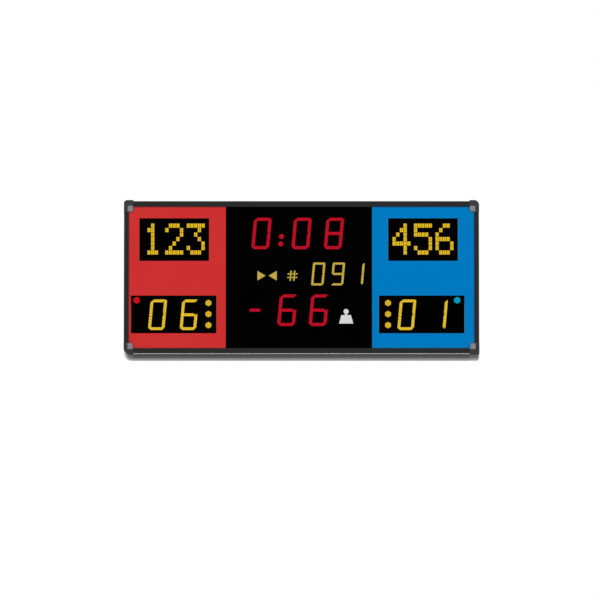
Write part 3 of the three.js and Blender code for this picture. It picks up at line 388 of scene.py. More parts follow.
def grain_group():
    """Fine moulded grain: a height for bumps and a slow shade that wanders over the surface."""
    tree, given, result = group_tree(
        "moulded_grain",
        [("Vector", VECTOR, None), ("Fineness", NUMBER, 900.0), ("Cloudiness", NUMBER, 9.0)],
        [("Height", NUMBER), ("Shade", NUMBER)],
    )
    grain = put(tree, "ShaderNodeTexNoise", {"Detail": 2.0, "Roughness": 0.6})
    wire(tree, given.outputs["Vector"], grain.inputs["Vector"])
    wire(tree, given.outputs["Fineness"], grain.inputs["Scale"])
    cells = put(tree, "ShaderNodeTexVoronoi", feature="SMOOTH_F1")
    wire(tree, given.outputs["Vector"], cells.inputs["Vector"])
    wire(tree, given.outputs["Fineness"], cells.inputs["Scale"])
    height = arithmetic(tree, "ADD", grain.outputs["Fac"], cells.outputs["Distance"])
    cloud = put(tree, "ShaderNodeTexNoise", {"Detail": 3.0, "Roughness": 0.55})
    wire(tree, given.outputs["Vector"], cloud.inputs["Vector"])
    wire(tree, given.outputs["Cloudiness"], cloud.inputs["Scale"])
    wire(tree, height, result.inputs["Height"])
    wire(tree, ranged(tree, cloud.outputs["Fac"], 0.3, 0.7), result.inputs["Shade"])
    return tree


def drawn_group():
    """The faint lines that drawing or rolling leaves along a metal, with a height and a shade."""
    tree, given, result = group_tree(
        "drawn_lines",
        [("Vector", VECTOR, None), ("Stretch", VECTOR, (2.0, 700.0, 700.0))],
        [("Height", NUMBER), ("Shade", NUMBER)],
    )
    stretch = put(tree, "ShaderNodeVectorMath", operation="MULTIPLY")
    wire(tree, given.outputs["Vector"], stretch.inputs[0])
    wire(tree, given.outputs["Stretch"], stretch.inputs[1])
    lines = put(tree, "ShaderNodeTexNoise", {"Scale": 1.0, "Detail": 3.0, "Roughness": 0.65})
    wire(tree, stretch.outputs[0], lines.inputs["Vector"])
    wire(tree, lines.outputs["Fac"], result.inputs["Height"])
    wire(tree, ranged(tree, lines.outputs["Fac"], 0.35, 0.65), result.inputs["Shade"])
    return tree


def wear_group():
    """Rubbed edges: a mask from an edge value, broken up by patches and fine scratches."""
    tree, given, result = group_tree(
        "rubbed_edges",
        [("Vector", VECTOR, None), ("Edge", NUMBER, 0.0), ("Amount", NUMBER, 0.5)],
        [("Mask", NUMBER)],
    )
    patches = put(tree, "ShaderNodeTexNoise", {"Scale": 38.0, "Detail": 5.0, "Roughness": 0.7})
    wire(tree, given.outputs["Vector"], patches.inputs["Vector"])
    broken = ranged(tree, patches.outputs["Fac"], 0.38, 0.62)
    lifted = arithmetic(tree, "MULTIPLY", given.outputs["Edge"], broken)
    scaled = arithmetic(tree, "MULTIPLY", lifted, given.outputs["Amount"])
    clamped = put(tree, "ShaderNodeClamp")
    wire(tree, scaled, clamped.inputs["Value"])
    wire(tree, clamped.outputs[0], result.inputs["Mask"])
    return tree


def dust_group():
    """Dust on surfaces that face up: a mask that fades over slopes and gathers in patches."""
    tree, given, result = group_tree(
        "settled_dust",
        [("Vector", VECTOR, None), ("Amount", NUMBER, 0.3)],
        [("Mask", NUMBER)],
    )
    facing = put(tree, "ShaderNodeNewGeometry")
    split = put(tree, "ShaderNodeSeparateXYZ")
    wire(tree, facing.outputs["Normal"], split.inputs[0])
    upward = ranged(tree, split.outputs["Z"], 0.55, 0.98, smooth=True)
    patches = put(tree, "ShaderNodeTexNoise", {"Scale": 22.0, "Detail": 6.0, "Roughness": 0.7})
    wire(tree, given.outputs["Vector"], patches.inputs["Vector"])
    gathered = ranged(tree, patches.outputs["Fac"], 0.3, 0.75)
    lying = arithmetic(tree, "MULTIPLY", upward, gathered)
    wire(tree, arithmetic(tree, "MULTIPLY", lying, given.outputs["Amount"]), result.inputs["Mask"])
    return tree


def tracks_group():
    """Copper tracks and solder pads under the lacquer of a circuit board."""
    tree, given, result = group_tree(
        "board_tracks",
        [("Vector", VECTOR, None), ("Pitch", NUMBER, 240.0)],
        [("Tracks", NUMBER), ("Pads", NUMBER)],
    )
    rows = put(tree, "ShaderNodeTexVoronoi", feature="DISTANCE_TO_EDGE", distance="EUCLIDEAN")
    rows.inputs["Randomness"].default_value = 0.35
    wire(tree, given.outputs["Vector"], rows.inputs["Vector"])
    wire(tree, given.outputs["Pitch"], rows.inputs["Scale"])
    wire(tree, ranged(tree, rows.outputs["Distance"], 0.09, 0.05), result.inputs["Tracks"])
    pads = put(tree, "ShaderNodeTexVoronoi", feature="F1")
    pads.inputs["Randomness"].default_value = 0.35
    wire(tree, given.outputs["Vector"], pads.inputs["Vector"])
    wire(tree, given.outputs["Pitch"], pads.inputs["Scale"])
    clusters = put(tree, "ShaderNodeTexNoise", {"Scale": 55.0, "Detail": 1.0})
    wire(tree, given.outputs["Vector"], clusters.inputs["Vector"])
    gathered = ranged(tree, clusters.outputs["Fac"], 0.53, 0.55)
    round_pads = ranged(tree, pads.outputs["Distance"], 0.2, 0.14)
    wire(tree, arithmetic(tree, "MULTIPLY", round_pads, gathered), result.inputs["Pads"])
    return tree


moulded_grain = grain_group()
drawn_lines = drawn_group()
rubbed_edges = wear_group()
settled_dust = dust_group()
board_tracks = tracks_group()


def start_material(name, roughness, ior=1.5, specular=0.5):
    material = bpy.data.materials.new(name)
    material.use_nodes = True
    tree = material.node_tree
    shader = tree.nodes["Principled BSDF"]
    shader.inputs["Roughness"].default_value = roughness
    shader.inputs["IOR"].default_value = ior
    shader.inputs["Specular IOR Level"].default_value = specular
    place = put(tree, "ShaderNodeTexCoord")
    return material, tree, shader, place.outputs["Object"]


def placed(tree, group, vector, values=None):
    made = put(tree, "ShaderNodeGroup", node_tree=group)
    wire(tree, vector, made.inputs["Vector"])
    for name, value in (values or {}).items():
        made.inputs[name].default_value = value
    return made


def blended(tree, share, first, second):
    """A colour between two, by a share. Each may be a colour or another node's output."""
    mix = put(tree, "ShaderNodeMix", data_type="RGBA")
    wire(tree, share, mix.inputs["Factor"])
    for socket, value in ((mix.inputs[6], first), (mix.inputs[7], second)):
        if isinstance(value, tuple):
            socket.default_value = value
        else:
            wire(tree, value, socket)
    return mix.outputs[2]


def bumped(tree, shader, height, strength, distance):
    bump = put(tree, "ShaderNodeBump", {"Strength": strength, "Distance": distance})
    wire(tree, height, bump.inputs["Height"])
    wire(tree, bump.outputs["Normal"], shader.inputs["Normal"])


def edge_value(tree, attribute):
    made = put(tree, "ShaderNodeAttribute", attribute_name=attribute, attribute_type="GEOMETRY")
    return made.outputs["Fac"]


def rubbed_by(tree, place, attribute, amount):
    """The mask of what is rubbed lighter, where an attribute marks a piece's edges."""
    wear_and_highlight = placed(tree, rubbed_edges, place, {"Amount": amount})
    wire(tree, edge_value(tree, attribute), wear_and_highlight.inputs["Edge"])
    return wear_and_highlight.outputs["Mask"]


def uneven_gloss(tree, shader, shade, roughness, spread):
    """Lets the roughness wander with a shade, as far as a spread to either side."""
    wandering = ranged(tree, shade, 0.0, 1.0, roughness - spread, roughness + spread)
    wire(tree, wandering, shader.inputs["Roughness"])


def glossed_aslant(tree, shader, start, full, weight, roughness):
    """Adds a sealing coat that shows only where the surface is seen aslant."""
    slant = put(tree, "ShaderNodeLayerWeight", {"Blend": 0.5})
    coat = ranged(tree, slant.outputs["Facing"], start, full, to_high=weight)
    wire(tree, coat, shader.inputs["Coat Weight"])
    shader.inputs["Coat IOR"].default_value = 1.6
    shader.inputs["Coat Roughness"].default_value = roughness


def rail_finish():
    """Dark satin anodising over drawn aluminium, with a painted highlight along the outer front edge:
    a metallic band whose lighter colour is painted, broken by rubbed patches.
    """
    material, tree, shader, place = start_material("dark_anodised_rail", 0.15, ior=1.33)
    lines = placed(tree, drawn_lines, place)
    cloud = placed(tree, moulded_grain, place, {"Fineness": 2600.0, "Cloudiness": 6.0})
    dark = blended(tree, cloud.outputs["Shade"], tone(11, 11, 12), tone(15, 15, 17))
    # Painted highlight: the edge attribute lightens the base colour towards bright metal along the
    # front radius and makes it metallic, with a few rubbed patches on it
    rubbed = rubbed_by(tree, place, "edge_highlight", 0.04)
    bright = arithmetic(tree, "ADD", edge_value(tree, "edge_highlight"), rubbed)
    highlight_band = ranged(tree, bright, 0.0, 1.3)
    metal = blended(tree, highlight_band, dark, tone(150, 151, 154))
    dust = placed(tree, settled_dust, place, {"Amount": 0.12})
    dusty = blended(tree, dust.outputs["Mask"], metal, tone(120, 117, 110))
    wire(tree, dusty, shader.inputs["Base Color"])
    wire(tree, ranged(tree, highlight_band, 0.0, 0.6), shader.inputs["Metallic"])
    satin = ranged(tree, lines.outputs["Shade"], 0.0, 1.0, to_low=0.14, to_high=0.16)
    blurred = ranged(tree, highlight_band, 0.0, 0.6, to_high=0.16)
    wire(tree, arithmetic(tree, "ADD", satin, blurred), shader.inputs["Roughness"])
    bumped(tree, shader, lines.outputs["Height"], 0.05, 0.0002)
    glossed_aslant(tree, shader, start=0.6, full=0.78, weight=0.9, roughness=0.12)
    return material


def cap_finish():
    """Moulded black polyamide with a fine spark-eroded grain."""
    material, tree, shader, place = start_material("moulded_cap", 0.2, ior=1.25)
    grain = placed(tree, moulded_grain, place, {"Fineness": 1500.0, "Cloudiness": 14.0})
    base = blended(tree, grain.outputs["Shade"], tone(48, 48, 50), tone(54, 54, 56))
    worn = blended(tree, rubbed_by(tree, place, "worn_edge", 0.35), base, tone(92, 92, 94))
    dust = placed(tree, settled_dust, place, {"Amount": 0.15})
    dusty = blended(tree, dust.outputs["Mask"], worn, tone(125, 122, 115))
    wire(tree, dusty, shader.inputs["Base Color"])
    satin = ranged(tree, grain.outputs["Shade"], 0.0, 1.0, to_low=0.17, to_high=0.24)
    wire(tree, satin, shader.inputs["Roughness"])
    bumped(tree, shader, grain.outputs["Height"], 0.05, 0.0002)
    glossed_aslant(tree, shader, start=0.62, full=0.8, weight=0.85, roughness=0.15)
    return material


def plug_finish():
    """Light grey moulded plastic of the corner plugs, its rim painted darker as shade in the seam
    round it.
    """
    material, tree, shader, place = start_material("grey_plug", 0.5, ior=1.42)
    grain = placed(tree, moulded_grain, place, {"Fineness": 1300.0, "Cloudiness": 40.0})
    base = blended(tree, grain.outputs["Shade"], tone(122, 123, 126), tone(130, 131, 134))
    # Painted shade: the rim attribute darkens the plug's edge band, as shade in the seam between plug
    # and cap
    rim_shaded = blended(tree, edge_value(tree, "rim"), base, tone(84, 85, 89))
    worn = blended(tree, rubbed_by(tree, place, "worn_edge", 0.3), rim_shaded, tone(150, 151, 154))
    wire(tree, worn, shader.inputs["Base Color"])
    bumped(tree, shader, grain.outputs["Height"], 0.1, 0.0003)
    return material


def sheet_finish(name, deep, light, specular, roughness):
    """Satin polycarbonate sheet, coloured through, with a faint orange peel."""
    material, tree, shader, place = start_material(name, roughness, specular=specular)
    peel = placed(tree, moulded_grain, place, {"Fineness": 420.0, "Cloudiness": 3.0})
    wire(tree, blended(tree, peel.outputs["Shade"], deep, light), shader.inputs["Base Color"])
    uneven_gloss(tree, shader, peel.outputs["Shade"], roughness, 0.04)
    bumped(tree, shader, peel.outputs["Height"], 0.06, 0.0003)
    return material


def lit_finish(name, low, high, body):
    """A lit diode: the light is strongest at the tip of its dome and weaker at its foot."""
    material, tree, shader, place = start_material(name, 0.35, specular=0.03)
    split = put(tree, "ShaderNodeSeparateXYZ")
    wire(tree, place, split.inputs[0])
    foot = FRONT + LIT_FOOT
    rise = ranged(tree, split.outputs["Y"], foot, foot - DIODE_HEIGHT, smooth=True)
    spread = put(tree, "ShaderNodeTexNoise", {"Scale": 70.0, "Detail": 0.0})
    wire(tree, place, spread.inputs["Vector"])
    uneven = ranged(tree, spread.outputs["Fac"], 0.3, 0.7, -0.12, 0.12)
    share = arithmetic(tree, "ADD", rise, uneven)
    wire(tree, blended(tree, share, low, high), shader.inputs["Emission Color"])
    shader.inputs["Base Color"].default_value = body
    shader.inputs["Emission Strength"].default_value = 1.0
    return material


def window_lens_finish(name, low, high, body):
    """The tinted bar behind the diodes, which glows unevenly with their light."""
    material, tree, shader, place = start_material(name, 0.4, specular=0.03)
    cells = put(tree, "ShaderNodeTexVoronoi", {"Scale": 150.0, "Randomness": 0.6}, feature="SMOOTH_F1")
    wire(tree, place, cells.inputs["Vector"])
    share = ranged(tree, cells.outputs["Distance"], 0.1, 0.7)
    wire(tree, blended(tree, share, high, low), shader.inputs["Emission Color"])
    shader.inputs["Base Color"].default_value = body
    shader.inputs["Emission Strength"].default_value = 1.0
    return material


def circuit_finish(name, lacquer, copper, pad, pitch):
    """A lacquered circuit board with its copper tracks and bright solder pads."""
    material, tree, shader, place = start_material(name, 0.32)
    tracks = placed(tree, board_tracks, place, {"Pitch": pitch})
    traced = blended(tree, tracks.outputs["Tracks"], lacquer, copper)
    wire(tree, blended(tree, tracks.outputs["Pads"], traced, pad), shader.inputs["Base Color"])
    gloss = ranged(tree, tracks.outputs["Pads"], 0.0, 1.0, to_low=0.34, to_high=0.22)
    wire(tree, gloss, shader.inputs["Roughness"])
    bumped(tree, shader, tracks.outputs["Tracks"], 0.2, 0.0002)
    return material


def metal_finish(name, dark, light, stretch, roughness, wear):
    """Plated or rolled metal with its lines, a spangle of tone and lighter rubbed edges."""
    material, tree, shader, place = start_material(name, roughness)
    lines = placed(tree, drawn_lines, place, {"Stretch": stretch})
    cloud = placed(tree, moulded_grain, place, {"Fineness": 500.0, "Cloudiness": 30.0})
    tint = arithmetic(tree, "MULTIPLY", lines.outputs["Shade"], cloud.outputs["Shade"])
    base = blended(tree, tint, dark, light)
    worn = blended(tree, rubbed_by(tree, place, "worn_edge", wear), base, tone(215, 216, 218))
    wire(tree, worn, shader.inputs["Base Color"])
    shader.inputs["Metallic"].default_value = 1.0
    uneven_gloss(tree, shader, cloud.outputs["Shade"], roughness, 0.07)
    bumped(tree, shader, lines.outputs["Height"], 0.08, 0.0002)
    return material


def painted_finish(name, dark, light, roughness):
    """Powder coat on steel, with its orange peel, some dust and edges rubbed lighter."""
    material, tree, shader, place = start_material(name, roughness, specular=0.35)
    peel = placed(tree, moulded_grain, place, {"Fineness": 700.0, "Cloudiness": 4.0})
    base = blended(tree, peel.outputs["Shade"], dark, light)
    worn = blended(tree, rubbed_by(tree, place, "worn_edge", 0.5), base, tone(130, 130, 132))
    dust = placed(tree, settled_dust, place, {"Amount": 0.25})
    dusty = blended(tree, dust.outputs["Mask"], worn, tone(140, 136, 128))
    wire(tree, dusty, shader.inputs["Base Color"])
    uneven_gloss(tree, shader, peel.outputs["Shade"], roughness, 0.05)
    bumped(tree, shader, peel.outputs["Height"], 0.25, 0.0004)
    return material


def plastic_finish(name, dark, light, roughness, fineness=1200.0):
    """Moulded plastic of the small fittings."""
    material, tree, shader, place = start_material(name, roughness, ior=1.46)
    grain = placed(tree, moulded_grain, place, {"Fineness": fineness, "Cloudiness": 35.0})
    base = blended(tree, grain.outputs["Shade"], dark, light)
    worn = blended(tree, rubbed_by(tree, place, "worn_edge", 0.4), base, tone(110, 110, 112))
    wire(tree, worn, shader.inputs["Base Color"])
    uneven_gloss(tree, shader, grain.outputs["Shade"], roughness, 0.06)
    bumped(tree, shader, grain.outputs["Height"], 0.1, 0.0002)
    return material


def ribbon_finish():
    """The grey flat cable: a ridge for each of its cores, and the first core marked in red."""
    material, tree, shader, place = start_material("ribbon_cover", 0.5, ior=1.46)
    cores = put(
        tree, "ShaderNodeTexWave", {"Scale": CORES_SCALE}, wave_type="BANDS", bands_direction="X"
    )
    wire(tree, place, cores.inputs["Vector"])
    grey = blended(tree, cores.outputs["Fac"], tone(96, 99, 104), tone(138, 142, 148))
    split = put(tree, "ShaderNodeSeparateXYZ")
    wire(tree, place, split.inputs[0])
    first_core = ranged(tree, split.outputs["X"], FIRST_CORE_X, FIRST_CORE_X - 0.0002)
    wire(tree, blended(tree, first_core, grey, tone(168, 34, 36)), shader.inputs["Base Color"])
    bumped(tree, shader, cores.outputs["Fac"], 0.5, 0.0004)
    return material


rail_metal = rail_finish()
cap_plastic = cap_finish()
plug_plastic = plug_finish()
YELLOW_BODY = tone(20, 16, 4)
RED_BODY = tone(16, 2, 4)
CYAN_BODY = tone(2, 14, 18)
WHITE_BODY = tone(30, 30, 30)
red_sheet = sheet_finish("red_face_sheet", tone(201, 46, 46), tone(204, 50, 50), 0.02, 0.42)
blue_sheet = sheet_finish("blue_face_sheet", tone(0, 119, 188), tone(0, 122, 192), 0.01, 0.42)
black_sheet = sheet_finish("black_face_sheet", tone(0, 0, 0), tone(1, 1, 1), 0.004, 0.3)
window_sheet = sheet_finish("black_window_sheet", tone(0, 0, 0), tone(1, 1, 1), 0.004, 0.22)
yellow_diode = lit_finish("yellow_diode", tone(236, 196, 42), tone(250, 212, 58), YELLOW_BODY)
dot_diode = lit_finish("dot_diode", tone(208, 172, 34), tone(222, 187, 45), YELLOW_BODY)
matrix_diode = lit_finish("matrix_diode", tone(238, 198, 34), tone(250, 210, 46), YELLOW_BODY)
red_diode = lit_finish("red_diode", tone(186, 6, 32), tone(204, 12, 40), RED_BODY)
red_lamp_diode = lit_finish("red_lamp_diode", tone(206, 4, 20), tone(222, 8, 28), RED_BODY)
cyan_diode = lit_finish("cyan_diode", tone(0, 146, 181), tone(0, 163, 199), CYAN_BODY)
yellow_lens = window_lens_finish("yellow_lens", tone(164, 132, 22), tone(200, 164, 34), YELLOW_BODY)
matrix_lens = window_lens_finish("matrix_lens", tone(142, 110, 14), tone(178, 140, 22), YELLOW_BODY)
red_lens = window_lens_finish("red_lens", tone(140, 4, 24), tone(166, 8, 30), RED_BODY)
cyan_lens = window_lens_finish("cyan_lens", tone(0, 112, 138), tone(0, 133, 161), CYAN_BODY)
thin_yellow_lens = window_lens_finish(
    "thin_yellow_lens", tone(184, 158, 60), tone(202, 174, 72), YELLOW_BODY
)
white_lens = window_lens_finish("white_lens", tone(204, 204, 204), tone(218, 218, 218), WHITE_BODY)
green_circuit = circuit_finish(
    "green_circuit", tone(18, 70, 44), tone(34, 98, 62), tone(186, 186, 178), 260.0
)
dark_circuit = circuit_finish(
    "dark_circuit", tone(16, 22, 20), tone(30, 40, 36), tone(150, 150, 146), 220.0
)
mill_aluminium = metal_finish(
    "mill_aluminium", tone(168, 170, 173), tone(196, 198, 200), (3.0, 500.0, 500.0), 0.38, 0.4
)
zinc_plate = metal_finish(
    "zinc_plate", tone(150, 154, 158), tone(190, 192, 194), (160.0, 160.0, 160.0), 0.4, 0.4
)
bare_contact = metal_finish(
    "bare_contact", tone(170, 172, 174), tone(205, 206, 208), (300.0, 20.0, 300.0), 0.25, 0.4
)
coated_steel = painted_finish("coated_steel", tone(48, 49, 52), tone(54, 55, 58), 0.5)
black_fitting = plastic_finish("black_fitting", tone(24, 24, 26), tone(32, 32, 34), 0.42)
red_fitting = plastic_finish("red_fitting", tone(170, 22, 26), tone(186, 30, 32), 0.38)
cable_cover = plastic_finish("cable_cover", tone(26, 26, 28), tone(36, 36, 38), 0.55, 700.0)
ribbon_cover = ribbon_finish()


# Fasteners, studs and pins

def stud(name, sides, radius, x, front, rear, z, edge, bore=0.0):
    """A round or hexagonal stud that stands out to the rear, its rim softened, bored if asked for."""
    deselect()
    bpy.ops.mesh.primitive_cylinder_add(vertices=sides, radius=radius, depth=rear - front)
    piece = bpy.context.object
    piece.name = name
    turned = Matrix.Rotation(math.radians(-90), 4, "X")
    piece.data.transform(Matrix.Translation((x, (front + rear) / 2, z)) @ turned)
    open_mesh(piece)
    at_rear = lambda place: near(place.y, rear, 1e-5)
    choose("EDGE", lambda line: both_ends(line, at_rear))
    bpy.ops.mesh.bevel(offset=edge, segments=3, affect="EDGES")
    if bore:
        floor = (front - rear) * BORE_SHARE
        choose("FACE", lambda face: face.normal.y > 0.99 and at_rear(face.calc_center_median()))
        bpy.ops.mesh.inset(thickness=radius - edge - bore)
        bpy.ops.mesh.extrude_region_move(TRANSFORM_OT_translate={"value": (0, floor, 0)})
    close_mesh()
    return piece


def pan_screw(name, radius, height):
    """A pan head with a cross recess that faces the rear, its seat at the origin."""
    rim, floor, over = height * 0.55, height * 0.35, height * 2
    arm, half = radius * 0.62, radius * 0.13
    head = stud(name, 20, radius, 0.0, 0.0, height, 0.0, rim)
    bars = [
        block("recess", (-arm, floor, -half), (arm, over, half)),
        block("recess", (-half, floor, -arm), (half, over, arm)),
    ]
    for bar in bars:
        cut_by(head, bar)
    smoothed(head, SHADE_ANGLE)
    return head


def repeated(name, piece, places):
    """Copies of a piece at some places, as one piece. The pattern itself is used up."""
    whole = joined_as(name, [copy_at(piece, place) for place in places])
    bpy.data.objects.remove(piece)
    return whole


def screws_at(name, radius, height, places):
    screws = repeated(name, pan_screw(name, radius, height), places)
    dressed(screws, "casing", "zinc_steel", zinc_plate)


def dropped(*pieces):
    for piece in pieces:
        bpy.data.objects.remove(piece)


# Frame rails and corners

def swell_at(depth, amount, crown):
    """How far a flank stands out at a depth behind the front, by its most and where that is."""
    share = (depth - LIP_RADIUS) / (DEPTH - REAR_RADIUS - LIP_RADIUS)
    share = min(max(share, 0.0), 1.0)
    return amount * (1 - ((share - crown) / crown) ** 2)


def from_middle(place, axis):
    return place[axis] - (MIDDLE if axis == 2 else 0.0)


def mark_edge_highlight(piece, axis, half, radius, weight):
    """Writes, for each point of the outer front radius, the strength of the painted highlight line
    there, by how far that point has turned.
    """
    band = piece.data.attributes.new("edge_highlight", "FLOAT", "POINT")
    values = []
    for vert in piece.data.vertices:
        across = abs(from_middle(vert.co, axis)) - (half - radius)
        ahead = FRONT + radius - vert.co.y
        value = 0.0
        if across > -1e-6 and ahead > -1e-6 and math.hypot(across, ahead) > radius * OUTER_SHARE:
            turn = math.degrees(math.atan2(across, ahead))
            value = weight * max(0.0, 1 - abs(turn - HIGHLIGHT_TURN) / HIGHLIGHT_SPREAD)
        values.append(value)
    band.data.foreach_set("value", values)


def frame_rail(name, axis, side, half, lip, reach, swell, wear_and_highlight):
    """A rail as a channel: lips at front and rear, a swelled flank and the rib that holds the face."""
    along = 2 - axis
    low = [0.0, FRONT, 0.0]
    high = [0.0, FRONT + DEPTH, 0.0]
    low[along], high[along] = -reach, reach
    low[axis], high[axis] = side * (half - lip), side * half
    low[2] += MIDDLE
    high[2] += MIDDLE
    rail = block(name, low, high)
    open_mesh(rail)
    choose("FACE", lambda face: abs(face.normal[along]) > 0.9 or face.normal[axis] * side < -0.9)
    bpy.ops.mesh.delete(type="FACE")
    outer = lambda place: near(side * from_middle(place, axis), half)
    outer_front = lambda place: outer(place) and near(place.y, FRONT)
    outer_rear = lambda place: outer(place) and near(place.y, FRONT + DEPTH)
    choose("EDGE", lambda edge: both_ends(edge, outer_front))
    bpy.ops.mesh.bevel(offset=LIP_RADIUS, segments=ARC_STEPS, affect="EDGES")
    choose("EDGE", lambda edge: both_ends(edge, outer_rear))
    bpy.ops.mesh.bevel(offset=REAR_RADIUS, segments=REAR_STEPS, affect="EDGES")
    run = DEPTH - REAR_RADIUS - LIP_RADIUS
    if swell:
        rows = [LIP_RADIUS + run * step / SWELL_ROWS for step in range(1, SWELL_ROWS)]
        for row in rows:
            cut_across((0, 1, 0), FRONT + row)
        on_row = lambda place, row: outer(place) and near(place.y, FRONT + row)
        moves = [(row, lambda place, row=row: on_row(place, row)) for row in rows]
        past = FRONT + DEPTH - REAR_RADIUS - SLACK
        edge = half - REAR_RADIUS - SLACK
        moves.append((DEPTH, lambda place: place.y > past and side * from_middle(place, axis) > edge))
        for depth, test in moves:
            choose("VERT", lambda vert: test(vert.co))
            push = [0.0, 0.0, 0.0]
            push[axis] = side * swell_at(depth, swell, FLANK_CROWN)
            bpy.ops.transform.translate(value=push)
    close_mesh()
    walled(rail, RAIL_WALL)
    # Writes the painted highlight along the front radius, at this rail's weight
    mark_edge_highlight(rail, axis, half, LIP_RADIUS, wear_and_highlight)
    low[1], high[1] = FRONT + RIB_FRONT, FRONT + RIB_FRONT + RIB_THICKNESS
    shift = MIDDLE if axis == 2 else 0.0
    low[axis] = shift + side * (half - lip + RIB_BELOW_LIP)
    high[axis] = shift + side * (half - RAIL_WALL + RIB_INTO_WALL)
    rib = block(name + "_rib", low, high)
    rounded_by(rib, RIB_EDGE, 2)
    rail = joined_as(name, [rail, rib])
    smoothed(rail)
    dressed(rail, "casing", "rail", rail_metal, name.replace("frame_", ""))


def corner_cap(name, side_x, side_z, radius):
    """A cap: a rounded box corner, opened towards the rails and notched for the plug."""
    half = HALF_WIDTH + CAP_PROUD_SIDE
    high = HALF_HEIGHT + CAP_PROUD_TOP
    front = FRONT - CAP_PROUD_FRONT
    rear = FRONT + DEPTH + CAP_PROUD_FRONT
    cap = block(
        name,
        (side_x * CAP_START_X, front, MIDDLE + side_z * CAP_START_Z),
        (side_x * half, rear, MIDDLE + side_z * high),
    )
    x_of = lambda place: side_x * place.x
    z_of = lambda place: side_z * (place.z - MIDDLE)
    open_mesh(cap)
    choose("FACE", lambda face: face.normal.x * side_x < -0.9 or face.normal.z * side_z < -0.9)
    bpy.ops.mesh.delete(type="FACE")
    outermost = lambda place: near(x_of(place), half) and near(z_of(place), high)
    choose("EDGE", lambda edge: both_ends(edge, outermost))
    bpy.ops.mesh.bevel(offset=radius, segments=CAP_CORNER_STEPS, affect="EDGES")
    outer_line = lambda edge: (
        abs(edge.verts[0].co.y - edge.verts[1].co.y) < 1e-6
        and len(edge.link_faces) == 2
        and abs(edge.link_faces[0].normal.y - edge.link_faces[1].normal.y) > 0.5
    )
    choose("EDGE", outer_line)
    bpy.ops.mesh.bevel(offset=CAP_EDGE, segments=CAP_EDGE_STEPS, affect="EDGES")
    run = DEPTH - REAR_RADIUS - LIP_RADIUS
    for step in range(1, SWELL_ROWS):
        cut_across((0, 1, 0), FRONT + LIP_RADIUS + run * step / SWELL_ROWS)
    openings = [
        (HALF_WIDTH - SIDE_LIP, HALF_HEIGHT - TOP_LIP, True),
        (HALF_WIDTH - PLUG_INSET + FIT, CAP_START_Z + PLUG_HEIGHT + 2 * FIT, False),
    ]
    for edge_x, edge_z, through in openings:
        cut_across((1, 0, 0), side_x * edge_x)
        cut_across((0, 0, 1), MIDDLE + side_z * edge_z)
        inside = lambda place: x_of(place) < edge_x and z_of(place) < edge_z
        flat = lambda face: face.normal.y < -0.9 or through and face.normal.y > 0.9
        choose("FACE", lambda face: flat(face) and inside(face.calc_center_median()))
        bpy.ops.mesh.delete(type="FACE")
    places = set()
    for vert in bmesh.from_edit_mesh(cap.data).verts:
        if z_of(vert.co) > high - radius:
            places.add((round(vert.co.y, 6), round(z_of(vert.co), 6)))
    moves = []
    for depth, level in places:
        share = min(max((level - high + radius) / radius, 0.0), 1.0)
        push = share * swell_at(depth - FRONT, CAP_SWELL, CAP_CROWN)
        if push > 1e-7:
            moves.append((level, depth, push))
    on = lambda value, target: near(value, target, 2e-6)
    for level, depth, push in sorted(moves, reverse=True):
        choose("VERT", lambda vert: on(vert.co.y, depth) and on(z_of(vert.co), level))
        bpy.ops.transform.translate(value=(0, 0, side_z * push))
    close_mesh()
    walled(cap, CAP_WALL)
    smoothed(cap, 30)
    return cap


def notch_fillet(side_x, side_z):
    """The cap's plastic that fills its notch outside the plug's round corner."""
    turn_x = HALF_WIDTH - PLUG_INSET - PLUG_CORNER
    turn_z = CAP_START_Z + FIT + PLUG_HEIGHT - PLUG_CORNER
    front = FRONT - CAP_PROUD_FRONT + FILLET_SUNK
    rear = FRONT + CAP_WALL - CAP_PROUD_FRONT
    reach = PLUG_CORNER + 2 * FIT
    fillet = block(
        "fillet",
        (side_x * turn_x, front, MIDDLE + side_z * turn_z),
        (side_x * (turn_x + reach), rear, MIDDLE + side_z * (turn_z + reach)),
    )
    round_corner = (side_x * turn_x, front - 0.001, FRONT + 0.005, MIDDLE + side_z * turn_z)
    cut_by(fillet, stud("corner", 40, PLUG_CORNER + FIT, *round_corner, 0.0001))
    return fillet


def cap_with_tongues(level, level_side, hand, hand_side):
    """A cap with the two tongues that reach into its rails, and the fillet of its notch."""
    name = f"cap_{level}_{hand}"
    node = f"corner_cap_{level}_{hand}"
    cap = corner_cap(name, hand_side, level_side, CAP_RADII[f"{level}_{hand}"])
    top = HALF_HEIGHT - RAIL_WALL + swell_at(TONGUE_FRONT, FLANK_SWELL, FLANK_CROWN) - FIT
    side = HALF_WIDTH - RAIL_WALL - FIT
    spans = [
        (CAP_START_X - TONGUE_REACH, CAP_START_X + TONGUE_ROOT, top - TONGUE_THICKNESS, top),
        (side - TONGUE_THICKNESS, side, CAP_START_Z - TONGUE_REACH, CAP_START_Z + TONGUE_ROOT),
    ]
    tongues = []
    for x0, x1, z0, z1 in spans:
        tongue = block(
            name + "_tongue",
            (hand_side * x0, FRONT + TONGUE_FRONT, MIDDLE + level_side * z0),
            (hand_side * x1, FRONT + TONGUE_REAR, MIDDLE + level_side * z1),
        )
        rounded_by(tongue, TONGUE_EDGE, 3)
        tongues.append(tongue)
    cap = joined_as(name, [cap, *tongues, notch_fillet(hand_side, level_side)])
    mark_worn_edges(cap, CAP_EDGE * CAP_WORN_SHARE)
    smoothed(cap, 30)
    dressed(cap, "casing", "cap", cap_plastic, node)


